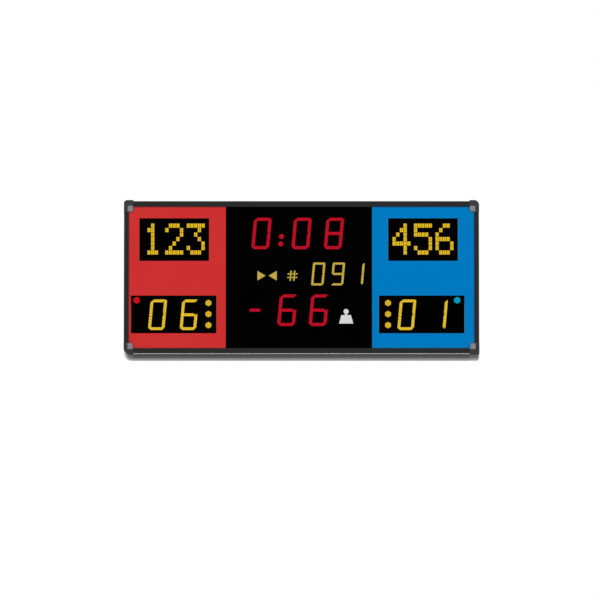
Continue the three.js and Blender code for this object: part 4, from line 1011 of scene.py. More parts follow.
def corner_plug(level, level_side, hand, hand_side):
    """A square plug with one round corner, a softened rim and a slightly sunk face."""
    name = f"plug_{level}_{hand}"
    right = HALF_WIDTH - PLUG_INSET
    low = CAP_START_Z + FIT
    plug = block(
        name,
        (hand_side * (right - PLUG_WIDTH), FRONT - PLUG_PROUD, MIDDLE + level_side * low),
        (hand_side * right, FRONT + RAIL_WALL, MIDDLE + level_side * (low + PLUG_HEIGHT)),
    )
    x_of = lambda place: hand_side * place.x
    z_of = lambda place: level_side * (place.z - MIDDLE)
    open_mesh(plug)
    corner = lambda place: near(x_of(place), right) and near(z_of(place), low + PLUG_HEIGHT)
    choose("EDGE", lambda edge: both_ends(edge, corner))
    bpy.ops.mesh.bevel(offset=PLUG_CORNER, segments=10, affect="EDGES")
    at_front = lambda place: near(place.y, FRONT - PLUG_PROUD)
    choose("EDGE", lambda edge: both_ends(edge, at_front))
    bpy.ops.mesh.bevel(offset=PLUG_EDGE, segments=5, affect="EDGES")
    choose("FACE", lambda face: face.normal.y < -0.99 and at_front(face.calc_center_median()))
    bpy.ops.mesh.inset(thickness=PLUG_RIM)
    bpy.ops.mesh.inset(thickness=PLUG_STEP)
    bpy.ops.transform.translate(value=(0, PLUG_SUNK, 0))
    close_mesh()
    # Marks the rim band, which the plug's material paints darker as shade in the seam round it
    inset = PLUG_RIM + PLUG_EDGE - SLACK
    values = []
    for vert in plug.data.vertices:
        in_x = right - PLUG_WIDTH + inset < x_of(vert.co) < right - inset
        in_z = low + inset < z_of(vert.co) < low + PLUG_HEIGHT - inset
        values.append(0.0 if in_x and in_z else 1.0)
    rim = plug.data.attributes.new("rim", "FLOAT", "POINT")
    rim.data.foreach_set("value", values)
    mark_worn_edges(plug, PLUG_WORN)
    smoothed(plug, 50)
    dressed(plug, "casing", "plug", plug_plastic, f"corner_plug_{level}_{hand}")


# Lit figures

def lens_fronts(node):
    """The front faces of a node's lit bars, each as its outline of (x, z) points, and their plane."""
    shape = bmesh.new()
    shape.from_mesh(nodes[node].data)
    bmesh.ops.remove_doubles(shape, verts=shape.verts, dist=0.000004)
    front = min(vert.co.y for vert in shape.verts)
    on_front = lambda face: near(face.calc_center_median().y, front) and face.normal.y < -0.9
    flat = [face for face in shape.faces if on_front(face)]
    left = set(flat)
    outlines = []
    for first in flat:
        if first not in left:
            continue
        left.remove(first)
        bar = [first]
        for face in bar:
            touching = [other for edge in face.edges for other in edge.link_faces]
            for other in touching:
                if other in left:
                    left.remove(other)
                    bar.append(other)
        outlines.append(rim_of(bar))
    shape.free()
    return outlines, front


def rim_of(bar):
    """The (x, z) points round the faces of one lit bar, in turn."""
    rim = [edge for face in bar for edge in face.edges if sum(f in bar for f in edge.link_faces) == 1]
    next_of = {}
    for edge in rim:
        for first, second in (edge.verts, reversed(edge.verts)):
            next_of.setdefault(first, []).append(second)
    start = rim[0].verts[0]
    outline = [start]
    last, here = None, start
    while True:
        ahead = [vert for vert in next_of[here] if vert is not last]
        last, here = here, ahead[0]
        if here is start or len(outline) > len(rim):
            break
        outline.append(here)
    return [(vert.co.x, vert.co.z) for vert in outline]


def area_and_centre(outline):
    """An outline's area and the place of its centre."""
    area = x_sum = z_sum = 0.0
    for (x0, z0), (x1, z1) in zip(outline, outline[1:] + outline[:1]):
        cross = x0 * z1 - x1 * z0
        area += cross / 2
        x_sum += (x0 + x1) * cross / 6
        z_sum += (z0 + z1) * cross / 6
    return abs(area), x_sum / area, z_sum / area


def room_inside(outline, x, z):
    """How far a point lies inside an outline, negative outside it."""
    inside = False
    closest = 1e9
    for (x0, z0), (x1, z1) in zip(outline, outline[1:] + outline[:1]):
        if (z0 > z) != (z1 > z) and x < (x1 - x0) * (z - z0) / (z1 - z0) + x0:
            inside = not inside
        length = (x1 - x0) ** 2 + (z1 - z0) ** 2
        along = min(max(((x - x0) * (x1 - x0) + (z - z0) * (z1 - z0)) / length, 0.0), 1.0)
        closest = min(closest, math.hypot(x - x0 - along * (x1 - x0), z - z0 - along * (z1 - z0)))
    return closest if inside else -closest


def is_dot(outline):
    area, middle_x, middle_z = area_and_centre(outline)
    span = span_of(outline, middle_x, middle_z)
    return len(outline) >= DOT_CORNERS and area > DOT_ROUNDNESS * span**2


def span_of(outline, middle_x, middle_z):
    return max(math.hypot(x - middle_x, z - middle_z) for x, z in outline)


def dot_places(outline):
    """The seven diodes of one round dot: one in its middle and six round it."""
    middle_x, middle_z = area_and_centre(outline)[1:]
    span = span_of(outline, middle_x, middle_z)
    ring = [(middle_x, middle_z)]
    reach = RING_SHARE * span
    for step in range(6):
        turn = math.radians(90 + 60 * step)
        ring.append((middle_x + reach * math.cos(turn), middle_z + reach * math.sin(turn)))
    return [(x, z, DOT_DIODE_SHARE * span) for x, z in ring]


def length_of(first, second):
    return math.hypot(second[0] - first[0], second[1] - first[1])


def bar_places(outline):
    """Where the diodes sit on one straight lit bar, with the radius that they have there."""
    area, middle_x, middle_z = area_and_centre(outline)
    edges = zip(outline, outline[1:] + outline[:1])
    (x0, z0), (x1, z1) = max(edges, key=lambda ends: length_of(*ends))
    length = length_of((x0, z0), (x1, z1))
    ux, uz = (x1 - x0) / length, (z1 - z0) / length
    along = [(x - middle_x) * ux + (z - middle_z) * uz for x, z in outline]
    across = [(z - middle_z) * ux - (x - middle_x) * uz for x, z in outline]
    long_side = max(along) - min(along)
    short_side = max(across) - min(across)
    if area < BAR_FILL * long_side * short_side or short_side < THINNEST_BAR:
        return []
    columns = max(1, round(long_side / DIODE_PITCH))
    rows = max(1, round(short_side / DIODE_PITCH))
    step_along, step_across = long_side / columns, short_side / rows
    radius = DIODE_SHARE * min(step_along, step_across, DIODE_PITCH * 1.1)
    found = []
    for column in range(columns):
        for row in range(rows):
            a = min(along) + (column + 0.5) * step_along
            c = min(across) + (row + 0.5) * step_across
            x, z = middle_x + a * ux - c * uz, middle_z + a * uz + c * ux
            if room_inside(outline, x, z) > radius * DIODE_ROOM:
                found.append((x, z, radius))
    return found


def middle_of(places):
    return tuple(sum(side) / len(places) for side in zip(*places))


def beside(outline, corner, other):
    """The neighbour of a corner that ends the bar there: the one that lies closer to the other bar."""
    at = outline.index(corner)
    sides = (outline[at - 1], outline[(at + 1) % len(outline)])
    return min(sides, key=lambda place: math.dist(place, other))


def joints_of(outlines):
    """Where two lit bars meet: the joint diodes' places, and the wedges that close their corners."""
    places, wedges = [], []
    for i, first in enumerate(outlines):
        for second in outlines[i + 1 :]:
            pairs = [(a, b) for a in first for b in second if math.dist(a, b) < JOINT_GAP]
            if not pairs:
                continue
            meeting = middle_of([middle_of(pair) for pair in pairs])
            if len(pairs) > 1:
                places.append(meeting)
                continue
            tip, other = pairs[0]
            ends = (beside(first, tip, other), beside(second, other, tip))
            wedges.append((tip, ends[0], ends[1], other))
            for share in WEDGE_SHARES:
                places.append(tuple(m + (o - m) * share for m, o in zip(meeting, middle_of(ends))))
    return places, wedges


def wedge_lens(name, corners, front):
    """The flat lens that closes one wedge, from its four corners in turn, on the face sheet."""
    half = 0.001
    lens = block(name, (-half, front, -half), (half, front + WEDGE_THICKNESS, half))
    starts = ((-half, -half), (half, -half), (half, half), (-half, half))
    open_mesh(lens)
    for (start_x, start_z), (x, z) in zip(starts, corners):
        choose("VERT", lambda vert: near(vert.co.x, start_x) and near(vert.co.z, start_z))
        bpy.ops.transform.translate(value=(x - start_x, 0, z - start_z))
    bpy.ops.mesh.select_all(action="SELECT")
    bpy.ops.mesh.normals_make_consistent(inside=False)
    close_mesh()
    return lens


def wedges_on(name, node, finish_slot, material):
    """The wedges between the lit bars of one node."""
    outlines, front = lens_fronts(node)
    wedges = joints_of(outlines)[1]
    whole = joined_as(name, [wedge_lens(name, corners, front) for corners in wedges])
    dressed(whole, "casing", finish_slot, material)


def diode_dome():
    """One diode's dome, a low half of a sphere that points forward, one millimetre in radius."""
    deselect()
    bpy.ops.mesh.primitive_uv_sphere_add(segments=8, ring_count=6, radius=1 / MILLIMETRES)
    dome = bpy.context.object
    dome.name = "diode_dome"
    open_mesh(dome)
    bpy.ops.mesh.select_all(action="SELECT")
    bpy.ops.mesh.bisect(plane_co=(0, 0, 0), plane_no=(0, 0, 1), clear_inner=True)
    bpy.ops.mesh.select_all(action="SELECT")
    quarter = math.radians(-90)
    bpy.ops.transform.rotate(value=quarter, orient_axis="X", center_override=(0, 0, 0))
    close_mesh()
    smoothed(dome, 60)
    return dome


def diodes_on(name, node, dome, finish_slot, material, dots=False, bars=False, joint=0.0):
    """The diodes of a node's dots or bars, and one on each joint when a joint's radius is given."""
    outlines, front = lens_fronts(node)
    places = []
    for outline in outlines:
        if dots and is_dot(outline):
            places += dot_places(outline)
        if bars and not is_dot(outline):
            places += bar_places(outline)
    if joint:
        places += [(x, z, joint) for x, z in joints_of(outlines)[0]]
    domes = []
    height = DIODE_HEIGHT * MILLIMETRES
    for x, z, radius in places:
        copy = bpy.data.objects.new(name, dome.data.copy())
        bpy.context.scene.collection.objects.link(copy)
        size = Matrix.Diagonal((radius * MILLIMETRES, height, radius * MILLIMETRES, 1))
        copy.data.transform(Matrix.Translation((x, front + DIODE_SEAT, z)) @ size)
        domes.append(copy)
    dressed(joined_as(name, domes), "casing", finish_slot, material)


# Fittings of the rear

def panel_screws():
    """The screws of the rear panel, through the rails' rear lips, of the hinge leaf and the earth."""
    level = HALF_HEIGHT - 0.0221
    side = HALF_WIDTH - 0.0167
    rear = FRONT + DEPTH
    across, down, leaf_pitch, earth_shift = 0.18, 0.2, 0.05, 0.055
    rows = [(across * step, rear, MIDDLE + way * level) for step in range(-4, 5) for way in (-1, 1)]
    ends = [(way * side, rear, MIDDLE + down * step) for step in (-1, 0, 1) for way in (-1, 1)]
    screws_at("panel_screws", 0.0032, 0.0018, rows + ends)
    leaf = [(LEAF_X, LEAF_REAR, MIDDLE + leaf_pitch * step) for step in range(-2, 3)]
    screws_at("hinge_screws", 0.0034, 0.0014, leaf)
    screws_at("earth_screw", 0.0045, 0.0024, [(INLET_X + earth_shift, PANEL_REAR, INLET_Z)])


def inlet_pins():
    """The three flat pins in the power socket, plated, with softened tips."""
    floor = INLET_REAR - SOCKET_DEPTH
    width, height, length, root = 0.0021, 0.0046, 0.01305, 0.001
    low = (-width / 2, floor - root, -height / 2)
    pin = block("inlet_pins", low, (width / 2, floor + length, height / 2))
    softened(pin, 0.0005, 3)
    apart, raised = 0.007, 0.00225
    places = [(-apart, -raised), (apart, -raised), (0.0, raised)]
    pins = repeated("inlet_pins", pin, [(INLET_X + x, 0.0, SOCKET_Z + z) for x, z in places])
    dressed(pins, "casing", "zinc_steel", bare_contact)


def flared(name, half_width, half_height, front, rear, corner):
    """A block along the depth that is narrower below than above, as a data socket's shell is."""
    taper = 0.0012
    low = (DATA_X - half_width, front, DATA_Z - half_height)
    high = (DATA_X + half_width, rear, DATA_Z + half_height)
    piece = block(name, low, high)
    open_mesh(piece)
    for side in (-1, 1):
        choose("VERT", lambda vert: vert.co.z < DATA_Z and side * (vert.co.x - DATA_X) > 0)
        bpy.ops.transform.translate(value=(-side * taper, 0, 0))
    choose("EDGE", along_depth)
    bpy.ops.mesh.bevel(offset=corner, segments=6, affect="EDGES")
    close_mesh()
    return piece


def latch_knob(level, z):
    """A quarter-turn latch: its knob with the grip, the shaft and the tongue behind the panel."""
    name = f"latch_knob_{level}"
    seat = PANEL_REAR + 0.0023
    tongue_front = PANEL_REAR - 0.0051
    knob_radius, knob_height, knob_edge = 0.011, 0.004, 0.0009
    grip_half, grip_reach, grip_height = 0.0025, 0.0085, 0.008
    shaft_radius, tongue_half, tongue_reach, tongue_thickness = 0.005, 0.005, 0.026, 0.0025
    knob = stud(name, 40, knob_radius, LATCH_X, seat, seat + knob_height, z, knob_edge)
    low = (LATCH_X - grip_half, seat, z - grip_reach)
    grip = block("grip", low, (LATCH_X + grip_half, seat + grip_height, z + grip_reach))
    rounded_by(grip, 0.0011, 4)
    shaft = stud("shaft", 24, shaft_radius, LATCH_X, tongue_front, seat + 0.0002, z, 0.0001)
    low = (LATCH_X - tongue_half, tongue_front, z - tongue_half)
    high = (LATCH_X + tongue_half, tongue_front + tongue_thickness, z + tongue_reach)
    tongue = block("tongue", low, high)
    rounded_by(tongue, 0.0006, 3)
    latch = joined_as(name, [knob, grip, shaft, tongue])
    mark_worn_edges(latch, 0.0005)
    smoothed(latch, 35)
    dressed(latch, f"{level}_latch", "black_plastic", black_fitting, f"latch_{level}")


def fuse_carrier():
    """The fuse drawer with the rib that a finger pulls it by."""
    head_rear = INLET_REAR + 0.0028
    half_width, half_height, proud, sunk = 0.007, 0.0008, 0.0012, 0.0002
    low = (INLET_X - half_width, head_rear - sunk, FUSE_Z - half_height)
    rib = block("rib", low, (INLET_X + half_width, head_rear + proud, FUSE_Z + half_height))
    drawer = softened(merged_copy("fuse_carrier", "fuse_drawer"), 0.0005, 3)
    carrier = joined_as("fuse_carrier", [drawer, softened(rib, 0.0004, 3)])
    dressed(carrier, "fuse_tray", "black_plastic", black_fitting, "fuse_drawer")


def data_connector():
    """The nine-pin data socket: flange and flared shell, insulator, pins and two hexagonal posts."""
    flange_rear = PANEL_REAR + 0.0012
    shell_rear = flange_rear + 0.006
    half_width, half_height = 0.0155, 0.0063
    low = (DATA_X - half_width, PANEL_REAR, DATA_Z - half_height)
    flange = block("data_shell", low, (DATA_X + half_width, flange_rear, DATA_Z + half_height))
    open_mesh(flange)
    choose("EDGE", along_depth)
    bpy.ops.mesh.bevel(offset=0.002, segments=6, affect="EDGES")
    close_mesh()
    collar_wall, collar_hollow = 0.0005, 0.0055
    collar = flared("collar", 0.0085, 0.0043, PANEL_REAR - 0.0143, shell_rear, 0.0022)
    open_mesh(collar)
    choose("FACE", lambda face: face.normal.y > 0.9)
    bpy.ops.mesh.inset(thickness=collar_wall)
    bpy.ops.mesh.extrude_region_move(TRANSFORM_OT_translate={"value": (0, -collar_hollow, 0)})
    close_mesh()
    shell = joined_as("data_shell", [softened(flange, 0.0002, 2), softened(collar, 0.00015, 2)])
    dressed(shell, "casing", "zinc_steel", zinc_plate, "data_socket")
    insulator = flared("data_insulator", 0.0078, 0.0036, flange_rear, flange_rear + 0.0022, 0.0016)
    dressed(softened(insulator, 0.0002, 2), "casing", "black_plastic", black_fitting)
    pin_root, pin_tip, pin_radius = flange_rear + 0.0018, shell_rear - 0.0006, 0.0005
    pin = stud("data_pins", 8, pin_radius, 0.0, pin_root, pin_tip, 0.0, 0.0002)
    row = [((step - 2) * DATA_PITCH, DATA_PITCH / 2) for step in range(5)]
    row += [((step - 1.5) * DATA_PITCH, -DATA_PITCH / 2) for step in range(4)]
    pins = repeated("data_pins", pin, [(DATA_X + x, 0.0, DATA_Z + z) for x, z in row])
    smoothed(pins, SHADE_ANGLE)
    dressed(pins, "casing", "zinc_steel", bare_contact)
    post_rear, post_radius, post_bore, post_shift = flange_rear + 0.0045, 0.0027, 0.0013, 0.0125
    post = stud("data_posts", 6, post_radius, 0.0, flange_rear, post_rear, 0.0, 0.0003, post_bore)
    places = [(DATA_X + side * post_shift, 0.0, DATA_Z) for side in (-1, 1)]
    posts = repeated("data_posts", post, places)
    smoothed(posts, 35)
    dressed(posts, "casing", "zinc_steel", zinc_plate)


# Behind the hatch

def supply():
    """The power supply: a folded case with its vents, and the terminals along its foot."""
    case = block("supply_case", (-0.23, CHASSIS_REAR, -0.289), (-0.07, SUPPLY_REAR, -0.191))
    rounded_by(case, 0.0012, 3)
    first_vent, vent_pitch, vent_half = -0.2, 0.0091, 0.0016
    vent_foot, vent_head, vent_depth = -0.264, -0.216, 0.005
    for step in range(12):
        x = first_vent + vent_pitch * step
        low = (x - vent_half, SUPPLY_REAR - vent_depth, vent_foot)
        cut_by(case, block("vent", low, (x + vent_half, SUPPLY_REAR + 0.001, vent_head)))
    mark_worn_edges(case, 0.0008)
    smoothed(case, SHADE_ANGLE)
    dressed(case, "casing", "zinc_steel", zinc_plate, "power_supply")

    seat, wall_rear, wall_half = CHASSIS_REAR + 0.011, CHASSIS_REAR + 0.016, 0.0007
    foot, head = -0.301, -0.2892
    pitch, first_wall, first_screw, screw_level = 0.01066, -0.1873, -0.182, -0.2951
    strip = block("supply_terminals", (-0.188, CHASSIS_REAR, foot), (-0.112, seat, head))
    wall = block("supply_terminals", (-wall_half, CHASSIS_REAR, foot), (wall_half, wall_rear, head))
    places = [(first_wall + pitch * step, 0.0, 0.0) for step in range(8)]
    walls = repeated("supply_terminals", wall, places)
    strip = joined_as("supply_terminals", [softened(strip, 0.0003, 2), softened(walls, 0.0003, 2)])
    dressed(strip, "casing", "black_plastic", black_fitting)
    seats = [(first_screw + pitch * step, seat, screw_level) for step in range(7)]
    screws_at("terminal_screws", 0.0032, 0.0016, seats)


def header(level):
    """A box header with two rows of pins, on the controller's upper or lower edge."""
    rear = CIRCUIT_REAR + 0.009
    half_width, half_height, wall, hollow = 0.017, 0.004, 0.001, 0.007
    low = (CIRCUIT_X - half_width, CIRCUIT_REAR, level - half_height)
    box = block("controller_headers", low, (CIRCUIT_X + half_width, rear, level + half_height))
    open_mesh(box)
    choose("FACE", lambda face: face.normal.y > 0.9)
    bpy.ops.mesh.inset(thickness=wall)
    bpy.ops.mesh.extrude_region_move(TRANSFORM_OT_translate={"value": (0, -hollow, 0)})
    close_mesh()
    softened(box, 0.0003, 2)
    pin_half, pitch, first_pin, half_row = 0.00032, 0.00254, 0.01143, 0.00127
    low = (-pin_half, CIRCUIT_REAR + 0.0015, -pin_half)
    pin = block("header_pins", low, (pin_half, rear - 0.0012, pin_half))
    rounded_by(pin, SMALL_EDGE, 1)
    places = [(step * pitch - first_pin, way * half_row) for step in range(10) for way in (-1, 1)]
    pins = repeated("header_pins", pin, [(CIRCUIT_X + x, 0.0, level + z) for x, z in places])
    return box, pins


def processor_legs():
    """The processor's legs, twelve along each of its four sides."""
    half, height, inner, outer, pitch = 0.0003, 0.0009, 0.0103, 0.0118, 0.0016
    leg = block("legs", (-half, CIRCUIT_REAR, inner), (half, CIRCUIT_REAR + height, outer))
    rounded_by(leg, SMALL_EDGE, 1)
    legs = []
    for quarter in range(4):
        for step in range(12):
            copy = copy_at(leg, (pitch * (step - 5.5), 0.0, 0.0))
            turn = Matrix.Rotation(math.radians(90 * quarter), 4, "Y")
            copy.data.transform(Matrix.Translation((CIRCUIT_X, 0.0, MIDDLE)) @ turn)
            legs.append(copy)
    dropped(leg)
    return legs


def controller():
    """The controller: its board on standoffs, with processor, headers, capacitors and small parts."""
    half_width, half_height, board_front = 0.085, 0.065, CIRCUIT_REAR - CIRCUIT_THICKNESS
    low = (CIRCUIT_X - half_width, board_front, MIDDLE - half_height)
    high = (CIRCUIT_X + half_width, CIRCUIT_REAR, MIDDLE + half_height)
    board = softened(block("controller_circuit", low, high), 0.0003, 2)
    dressed(board, "casing", "circuit", green_circuit, "controller_board")
    hole_x, hole_z = 0.077, 0.057
    signs = [(way, level) for way in (-1, 1) for level in (-1, 1)]
    corners = [(CIRCUIT_X + way * hole_x, level * hole_z + MIDDLE) for way, level in signs]
    standoff = stud("standoffs", 6, 0.003, 0.0, CHASSIS_REAR, board_front, 0.0, 0.0002)
    standoffs = repeated("standoffs", standoff, [(x, 0.0, z) for x, z in corners])
    dressed(standoffs, "casing", "zinc_steel", zinc_plate)
    screws_at("circuit_screws", 0.0028, 0.0015, [(x, CIRCUIT_REAR, z) for x, z in corners])

    chip_half, chip_front, chip_rear = 0.0105, CIRCUIT_REAR + 0.0004, CIRCUIT_REAR + 0.003
    low = (CIRCUIT_X - chip_half, chip_front, MIDDLE - chip_half)
    high = (CIRCUIT_X + chip_half, chip_rear, MIDDLE + chip_half)
    chip = softened(block("processor", low, high), 0.0005, 2)
    part = block("parts", (-0.001, CIRCUIT_REAR, -0.0006), (0.001, CIRCUIT_REAR + 0.0008, 0.0006))
    softened(part, 0.0002, 1)
    row = [(0.026 + 0.008 * step, way * 0.032) for step in range(6) for way in (-1, 1)]
    column = [(-0.026, -0.035 + 0.01 * step) for step in range(8)]
    parts = repeated("parts", part, [(CIRCUIT_X + x, 0.0, MIDDLE + z) for x, z in row + column])
    can_radius, sleeve_rear, can_rear = 0.008, CIRCUIT_REAR + 0.0119, CIRCUIT_REAR + 0.012
    can_shift, can_pitch, lid_radius = 0.0425, 0.022, 0.0064
    sleeve = stud("sleeves", 24, can_radius, 0.0, CIRCUIT_REAR, sleeve_rear, 0.0, 0.0008)
    cans = [(CIRCUIT_X - can_shift, 0.0, MIDDLE + can_pitch * level) for level in (-1, 0, 1)]
    sleeves = repeated("sleeves", sleeve, cans)
    smoothed(sleeves, SHADE_ANGLE)
    boxes, pins = zip(*[header(MIDDLE + way * hole_z) for way in (-1, 1)])
    black = joined_as("controller_parts", [chip, parts, sleeves, *boxes])
    dressed(black, "casing", "black_plastic", black_fitting)

    legs = processor_legs()
    lid = stud("lids", 20, lid_radius, 0.0, CIRCUIT_REAR + 0.0115, can_rear, 0.0, 0.0002)
    lids = repeated("lids", lid, cans)
    bright = joined_as("controller_contacts", [*legs, *pins, lids])
    dressed(bright, "casing", "zinc_steel", bare_contact)


# The pieces

rail_end_x = CAP_START_X - FIT
rail_end_z = CAP_START_Z - FIT
# The last column is the weight of each rail's painted highlight, strongest on the bottom rail, where
# the light from below falls
for name, axis, side, half, lip, reach, swell, wear_and_highlight in (
    ("frame_top_rail", 2, 1, HALF_HEIGHT, TOP_LIP, rail_end_x, FLANK_SWELL, 0.22),
    ("frame_bottom_rail", 2, -1, HALF_HEIGHT, TOP_LIP, rail_end_x, FLANK_SWELL, 0.75),
    ("frame_left_rail", 0, -1, HALF_WIDTH, SIDE_LIP, rail_end_z, 0.0, 0.1),
    ("frame_right_rail", 0, 1, HALF_WIDTH, SIDE_LIP, rail_end_z, 0.0, 0.15),
):
    frame_rail(name, axis, side, half, lip, reach, swell, wear_and_highlight)
for level, level_side in (("top", 1), ("bottom", -1)):
    for hand, hand_side in (("left", -1), ("right", 1)):
        cap_with_tongues(level, level_side, hand, hand_side)
        corner_plug(level, level_side, hand, hand_side)

for node, name, body, finish_slot, material, width in (
    ("hatch_hinge", "hinge_leaf", "casing", "zinc_steel", zinc_plate, 0.0003),
    ("service_hatch", "hatch_plate", "hatch", "dark_steel", coated_steel, 0.0004),
    ("power_inlet", "inlet_shell", "casing", "black_plastic", black_fitting, 0.0006),
    ("power_rocker", "rocker_key", "rocker", "red_plastic", red_fitting, 0.0007),
    ("horn", "horn_shell", "casing", "black_plastic", black_fitting, 0.0008),
    ("wall_rail_upper", "wall_channel_upper", "casing", "zinc_steel", zinc_plate, 0.001),
    ("wall_rail_lower", "wall_channel_lower", "casing", "zinc_steel", zinc_plate, 0.001),
):
    dressed(softened(merged_copy(name, node), width, 3), body, finish_slot, material, node)
for node, name, finish_slot, material in (
    ("mains_loom", "mains_cable", "cable_jacket", cable_cover),
    ("supply_loom", "supply_cable", "cable_jacket", cable_cover),
    ("data_ribbon", "ribbon_cable", "ribbon_jacket", ribbon_cover),
):
    cable = merged_copy(name, node)
    smoothed(cable, 60)
    dressed(cable, "casing", finish_slot, material, node)
latch_knob("upper", MIDDLE + LATCH_LEVEL)
latch_knob("lower", MIDDLE - LATCH_LEVEL)
fuse_carrier()
panel_screws()
inlet_pins()
data_connector()
supply()
controller()

dome = diode_dome()
for side, lamp_slot, lamp_diode in (
    ("red", "red_light", red_lamp_diode),
    ("blue", "cyan_light", cyan_diode),
):
    name, figures = f"{side}_name_pixels", f"{side}_score_digits"
    yellow = "yellow_light"
    diodes_on(f"{side}_name_diodes", name, dome, yellow, matrix_diode, bars=True)
    diodes_on(f"{side}_score_diodes", figures, dome, yellow, yellow_diode, bars=True, joint=0.0042)
    diodes_on(f"{side}_penalty_diodes", figures, dome, yellow, dot_diode, dots=True)
    diodes_on(f"{side}_lead_diodes", f"{side}_lead_lamp", dome, lamp_slot, lamp_diode, dots=True)
for name in ("timer", "weight"):
    places = {"dots": True, "bars": True, "joint": 0.0044}
    diodes_on(f"{name}_diodes", f"{name}_digits", dome, "red_light", red_diode, **places)
figures = "match_number_digits"
diodes_on("match_number_joints", figures, dome, "yellow_light", thin_yellow_lens, joint=0.0026)
dropped(dome)
for node, finish_slot, material in (
    ("timer_digits", "red_light", red_lens),
    ("red_score_digits", "yellow_light", yellow_lens),
    ("blue_score_digits", "yellow_light", yellow_lens),
    ("match_number_digits", "yellow_light", thin_yellow_lens),
):
    wedges_on(node.replace("_digits", "_wedges"), node, finish_slot, material)

carried = {
    "red_face_panel": red_sheet,
    "blue_face_panel": blue_sheet,
    "centre_face_panel": black_sheet,
    "red_name_window": window_sheet,
    "blue_name_window": window_sheet,
    "red_score_window": window_sheet,
    "blue_score_window": window_sheet,
    "red_name_pixels": matrix_lens,
    "blue_name_pixels": matrix_lens,
    "red_score_digits": yellow_lens,
    "blue_score_digits": yellow_lens,
    "red_lead_lamp": red_lens,
    "blue_lead_lamp": cyan_lens,
    "timer_digits": red_lens,
    "weight_digits": red_lens,
    "match_number_digits": thin_yellow_lens,
    "weight_mark": white_lens,
    "red_name_board": dark_circuit,
    "blue_name_board": dark_circuit,
    "red_score_board": dark_circuit,
    "blue_score_board": dark_circuit,
    "timer_board": dark_circuit,
    "match_number_board": dark_circuit,
    "weight_board": dark_circuit,
    "module_rail_top": mill_aluminium,
    "module_rail_middle": mill_aluminium,
    "module_rail_bottom": mill_aluminium,
    "support_post_red": mill_aluminium,
    "support_post_blue": mill_aluminium,
    "chassis_plate": zinc_plate,
    "rear_panel": coated_steel,
}
for node, material in carried.items():
    nodes[node].data.materials[0] = material


# Stage, light and camera

def shared_background(tree):
    """One where a ray comes from the camera, a reflection or glass, so that all of them see white."""
    path = put(tree, "ShaderNodeLightPath")
    seen = arithmetic(tree, "MAXIMUM", path.outputs["Is Camera Ray"], path.outputs["Is Glossy Ray"])
    return arithmetic(tree, "MAXIMUM", seen, path.outputs["Is Transmission Ray"])


def studio_floor():
    """A pale floor that keeps the shadow and that the camera looks through from below."""
    size, level = 60, -2.1
    deselect()
    bpy.ops.mesh.primitive_plane_add(size=size, location=(0, 0, level))
    floor = bpy.context.object
    floor.name = "studio_floor"
    bpy.ops.object.transform_apply(location=True, rotation=True, scale=True)
    material = bpy.data.materials.new("pale_floor")
    material.use_nodes = True
    tree = material.node_tree
    shader = tree.nodes["Principled BSDF"]
    shader.inputs["Roughness"].default_value = 0.9
    shader.inputs["Specular IOR Level"].default_value = 0.1
    place = put(tree, "ShaderNodeTexCoord")
    slow = {"Fineness": 60.0, "Cloudiness": 0.6}
    cloud = placed(tree, moulded_grain, place.outputs["Object"], slow)
    pale = blended(tree, cloud.outputs["Shade"], tone(246, 246, 246), tone(250, 250, 250))
    wire(tree, pale, shader.inputs["Base Color"])
    below = put(tree, "ShaderNodeNewGeometry")
    path = put(tree, "ShaderNodeLightPath")
    hidden = arithmetic(tree, "MULTIPLY", below.outputs["Backfacing"], path.outputs["Is Camera Ray"])
    clear = put(tree, "ShaderNodeBsdfTransparent")
    mix = put(tree, "ShaderNodeMixShader")
    wire(tree, hidden, mix.inputs[0])
    wire(tree, shader.outputs[0], mix.inputs[1])
    wire(tree, clear.outputs[0], mix.inputs[2])
    wire(tree, mix.outputs[0], tree.nodes["Material Output"].inputs["Surface"])
    floor.data.materials.append(material)
    floor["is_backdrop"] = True


def studio_world():
    """A white world for what the camera and reflections see, and a plain fill for the rest."""
    world = bpy.data.worlds.new("white_studio")
    bpy.context.scene.world = world
    world.use_nodes = True
    tree = world.node_tree
    tree.nodes.clear()
    seen = shared_background(tree)
    fill = put(tree, "ShaderNodeBackground", {"Color": (1, 1, 1, 1), "Strength": 0.8})
    white = put(tree, "ShaderNodeBackground", {"Color": (1, 1, 1, 1), "Strength": 1.0})
    mix = put(tree, "ShaderNodeMixShader")
    wire(tree, seen, mix.inputs[0])
    wire(tree, fill.outputs[0], mix.inputs[1])
    wire(tree, white.outputs[0], mix.inputs[2])
    out = put(tree, "ShaderNodeOutputWorld")
    wire(tree, mix.outputs[0], out.inputs["Surface"])


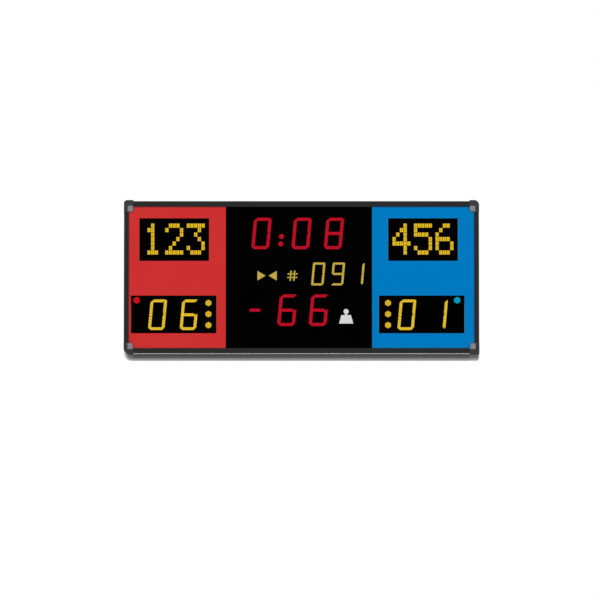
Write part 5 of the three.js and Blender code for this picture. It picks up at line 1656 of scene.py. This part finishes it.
def soft_lamp(name, place, aim, width, height, power, diffuse, glossy):
    """A broad lamp out of the camera's sight, for plain light or for reflections alone."""
    lamp = bpy.data.lights.new(name, "AREA")
    lamp.shape = "RECTANGLE"
    lamp.size = width
    lamp.size_y = height
    lamp.energy = power
    made = bpy.data.objects.new(name, lamp)
    bpy.context.scene.collection.objects.link(made)
    made.location = place
    made.rotation_mode = "QUATERNION"
    made.rotation_quaternion = (Vector(aim) - Vector(place)).to_track_quat("-Z", "Y")
    made.visible_camera = False
    made.visible_diffuse = diffuse
    made.visible_glossy = glossy


def front_camera():
    """The picture's view: square to the face and fourteen degrees from below, through a long lens."""
    data = bpy.data.cameras.new("front_camera")
    camera = bpy.data.objects.new("front_camera", data)
    bpy.context.scene.collection.objects.link(camera)
    data.lens = 1000
    data.sensor_width = 36
    data.clip_end = 400
    pixel = 0.004649
    picture = 600
    shift_left, shift_down = 1.49 * pixel, 22.62 * pixel
    distance = pixel * picture / data.sensor_width * data.lens
    below = math.radians(14)
    ahead = Vector((0, math.cos(below), math.sin(below)))
    up = Vector((0, -math.sin(below), math.cos(below)))
    face_middle = Vector((0, FRONT, MIDDLE))
    aim = face_middle - Vector((shift_left, 0, 0)) - up * shift_down
    camera.location = aim - ahead * distance
    camera.rotation_mode = "QUATERNION"
    camera.rotation_quaternion = ahead.to_track_quat("-Z", "Y")
    bpy.context.scene.camera = camera


studio_floor()
studio_world()
for name, place, aim, width, height, power, plain in (
    ("left_lamp", (-4.2, -4.6, 2.6), (0, -0.1, -0.2), 3.2, 2.4, 62, True),
    ("right_lamp", (4.2, -4.6, 1.4), (0, -0.1, -0.2), 3.2, 2.4, 54, True),
    ("rear_lamp", (1.5, 5.0, 3.2), (0, 0, -0.2), 3.5, 2.4, 40, True),
    ("low_strip", (0, -0.95, -1.9), (0, -0.13, -0.6), 3.6, 0.5, 36, False),
):
    soft_lamp(name, place, aim, width, height, power, diffuse=plain, glossy=not plain)
front_camera()
bpy.context.scene.view_settings.view_transform = "Standard"

bpy.context.view_layer.update()
[[list(corner) for corner in box] for box in (cad_box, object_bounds())]
